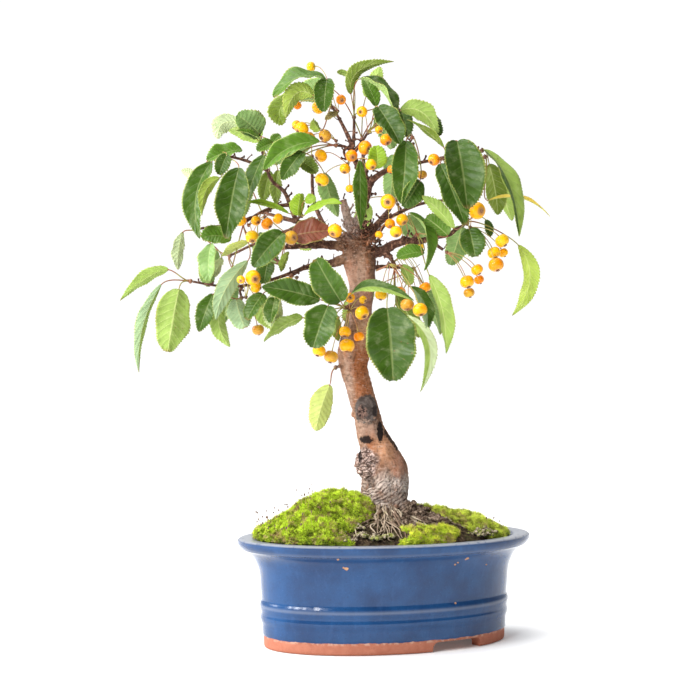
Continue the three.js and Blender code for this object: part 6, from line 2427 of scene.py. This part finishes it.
@dataclass
class Studio:
    """A white table before a white backdrop, with soft lamps to the front-left and the left and light from
    above.
    """

    lens: float = 77.14
    eye_height: float = 0.2907
    around: Pair = (0.05, 0.85)  # from the side of the viewer, and from behind
    above: float = 2.7
    white: float = 0.9
    # how brightly the table glows of itself: painted light that lifts its shadows and lights the plant from
    # below
    glow: float = 0.08
    reach: float = 12.0
    below: float = 0.0004  # how far under the pot's foot the table lies
    panes: tuple[Pair, ...] = ((-0.42, 0.2), (-0.1, 0.3), (0.2, 0.16), (0.62, 0.24))
    # how far aside each pane of the window is, and how wide
    window: Place = (226.0, 1.6, 0.95)  # the way to it in degrees, how far, how high
    pane_power: float = 37.0  # for each unit of a pane's width

    def floor(self) -> None:
        """The white table, which glows faintly of itself: painted light on it and on the plant from below."""
        mesh = bpy.data.meshes.new("table")
        sides = ((-1, -1), (1, -1), (1, 1), (-1, 1))
        corners = [(x * self.reach, y * self.reach, -self.below) for x, y in sides]
        mesh.from_pydata(corners, [], [(0, 1, 2, 3)])
        grey = (self.white, self.white, self.white, 1)
        glow = {"Emission_Strength": self.glow, "Emission_Color": (1, 1, 1, 1)}
        paint = Paint("table_white", Base_Color=grey, Roughness=0.9, **glow)
        mesh.materials.append(paint.material)
        show(mesh)

    def lamp(self, name: str, place: Place, size: Pair, watts: float) -> None:
        """A soft box that looks at the tree.

        Args:
            name: Its name.
            place: Where it stands, in metres from the tree's foot.
            size: Its width and height in metres.
            watts: Its power.
        """
        data = bpy.data.lights.new(name, "AREA")
        data.shape = "RECTANGLE"
        data.size, data.size_y = size
        data.energy = watts
        self.hang(data, place, Vector((0, 0, 0.25)) - Vector(place))

    def hang(self, data: bpy.types.Light, place: Place, toward: Vector) -> None:
        """Hangs up a light.

        Args:
            data: The light.
            place: Where it hangs.
            toward: The way that it shines.
        """
        lamp = show(data)
        lamp.location = place
        lamp.rotation_euler = toward.to_track_quat("-Z", "Y").to_euler()

    def skylight(self) -> None:
        """Broad light from above."""
        data = bpy.data.lights.new("skylight", "SUN")
        data.energy = self.above
        data.angle = radians(50)
        self.hang(data, (0, 0, 0), Vector((0.25, 0.1, -1)))

    def surroundings(self) -> None:
        """Light from behind and above, little from the viewer's side, and a white backdrop."""
        world = bpy.data.worlds.new("surroundings")
        world.use_nodes = True
        bpy.context.scene.world = world
        tree = world.node_tree
        light = Sock(tree)
        seen = light.make("ShaderNodeLightPath", out="Is Camera Ray")
        toward = light.make("ShaderNodeTexCoord", out="Generated")
        share = (toward.part(1) - toward.part(0) * 0.55 + toward.part(2) * 0.5).ease(-0.7, 0.7, *self.around)
        strength = share + (1.06 - share) * seen
        back = tree.nodes["Background"]
        tree.links.new(strength.socket, back.inputs["Strength"])
        back.inputs["Color"].default_value = (1, 1, 1, 1)

    def camera(self) -> None:
        """The camera, level with the middle of the view."""
        data = bpy.data.cameras.new("camera")
        data.lens = self.lens
        data.sensor_width = 36.0
        camera = show(data)
        camera.location = (SHIFT.x * MM, (SHIFT.y - EYE_AHEAD) * MM, self.eye_height)
        camera.rotation_euler = (pi / 2, 0, 0)
        bpy.context.scene.camera = camera

    def build(self) -> None:
        """Sets up the table, the light and the camera."""
        self.floor()
        self.surroundings()
        self.skylight()
        degrees, away, height = self.window
        for i, (aside, wide) in enumerate(self.panes):
            turn = radians(degrees + 32 * aside)
            place = (away * cos(turn), away * sin(turn), height)
            self.lamp(f"window_{i}", place, (wide * 0.55, 0.6), self.pane_power * wide)
        self.lamp("left", (-1.7, 0.15, 1.0), (0.8, 0.8), 24)
        self.camera()
        bpy.context.scene.view_settings.view_transform = "Standard"


# ---- The whole plant ----

OLD_GREEN = MossGreen("moss", (0.07, 0.11, 0.01), (0.74, 0.95, 0.07))
DRY_GREEN = MossGreen("moss_dry", (0.17, 0.22, 0.03), (0.86, 0.98, 0.14))
FRESH_GREEN = MossGreen("moss_fresh", (0.36, 0.52, 0.03), (0.96, 1.0, 0.12))
MOSSES = (
    MossCushion("moss_left", (8, 19), (1, 6), 9.5, OLD_GREEN, tufts=245000, creep=2),
    MossCushion("moss_right", (-3, 7), (2, 5.1), 3.4, DRY_GREEN, spread=0.5, seed=21),
    MossCushion("moss_front", (-7.2, -4.8), (3.7, 5), 5.0, FRESH_GREEN, spread=-0.2, lumps=0.5, seed=41),
)
LONE_LEAVES = {"leaf_red": "red_leaf", "leaf_yellow": "yellow_leaf"}  # their slots


def main() -> None:
    """Builds the plant and the studio."""
    logging.basicConfig(level=logging.INFO, format="%(message)s")
    Studio().build()
    Pot().build()
    DrainScreens().build()
    SoilBed().build()
    for cushion in MOSSES:
        cushion.build()
    DryClumps().build()
    SporeStalks(MOSSES[0]).build()
    SporeStalks(MOSSES[1], count=12, around=(0.1, 0.6), tall=(5.0, 12.0)).build()
    bark = Bark().material()
    Stem().build(bark)
    SurfaceRoots().build()
    Twigs().build(bark)
    looks = leaf_looks()
    for name, growth in SPRAYS.items():
        node = name if name in LONE_LEAVES else f"leaves_{name}"
        LeafSpray(name, growth, looks).build(node, LONE_LEAVES.get(name, "leaf"))
    pedicel = StalkSkin("pedicel", (0.4, 0.34, 0.08), (0.38, 0.15, 0.06)).material()
    calyx = StalkSkin("calyx", (0.16, 0.07, 0.035), (0.34, 0.17, 0.1)).material()
    finishes = [FruitSkin().material(), calyx, pedicel, looks[-1]]
    for name, plan in BUNCHES.items():
        FruitBunch(name, plan, finishes).build()


if __name__ == "__main__":
    main()
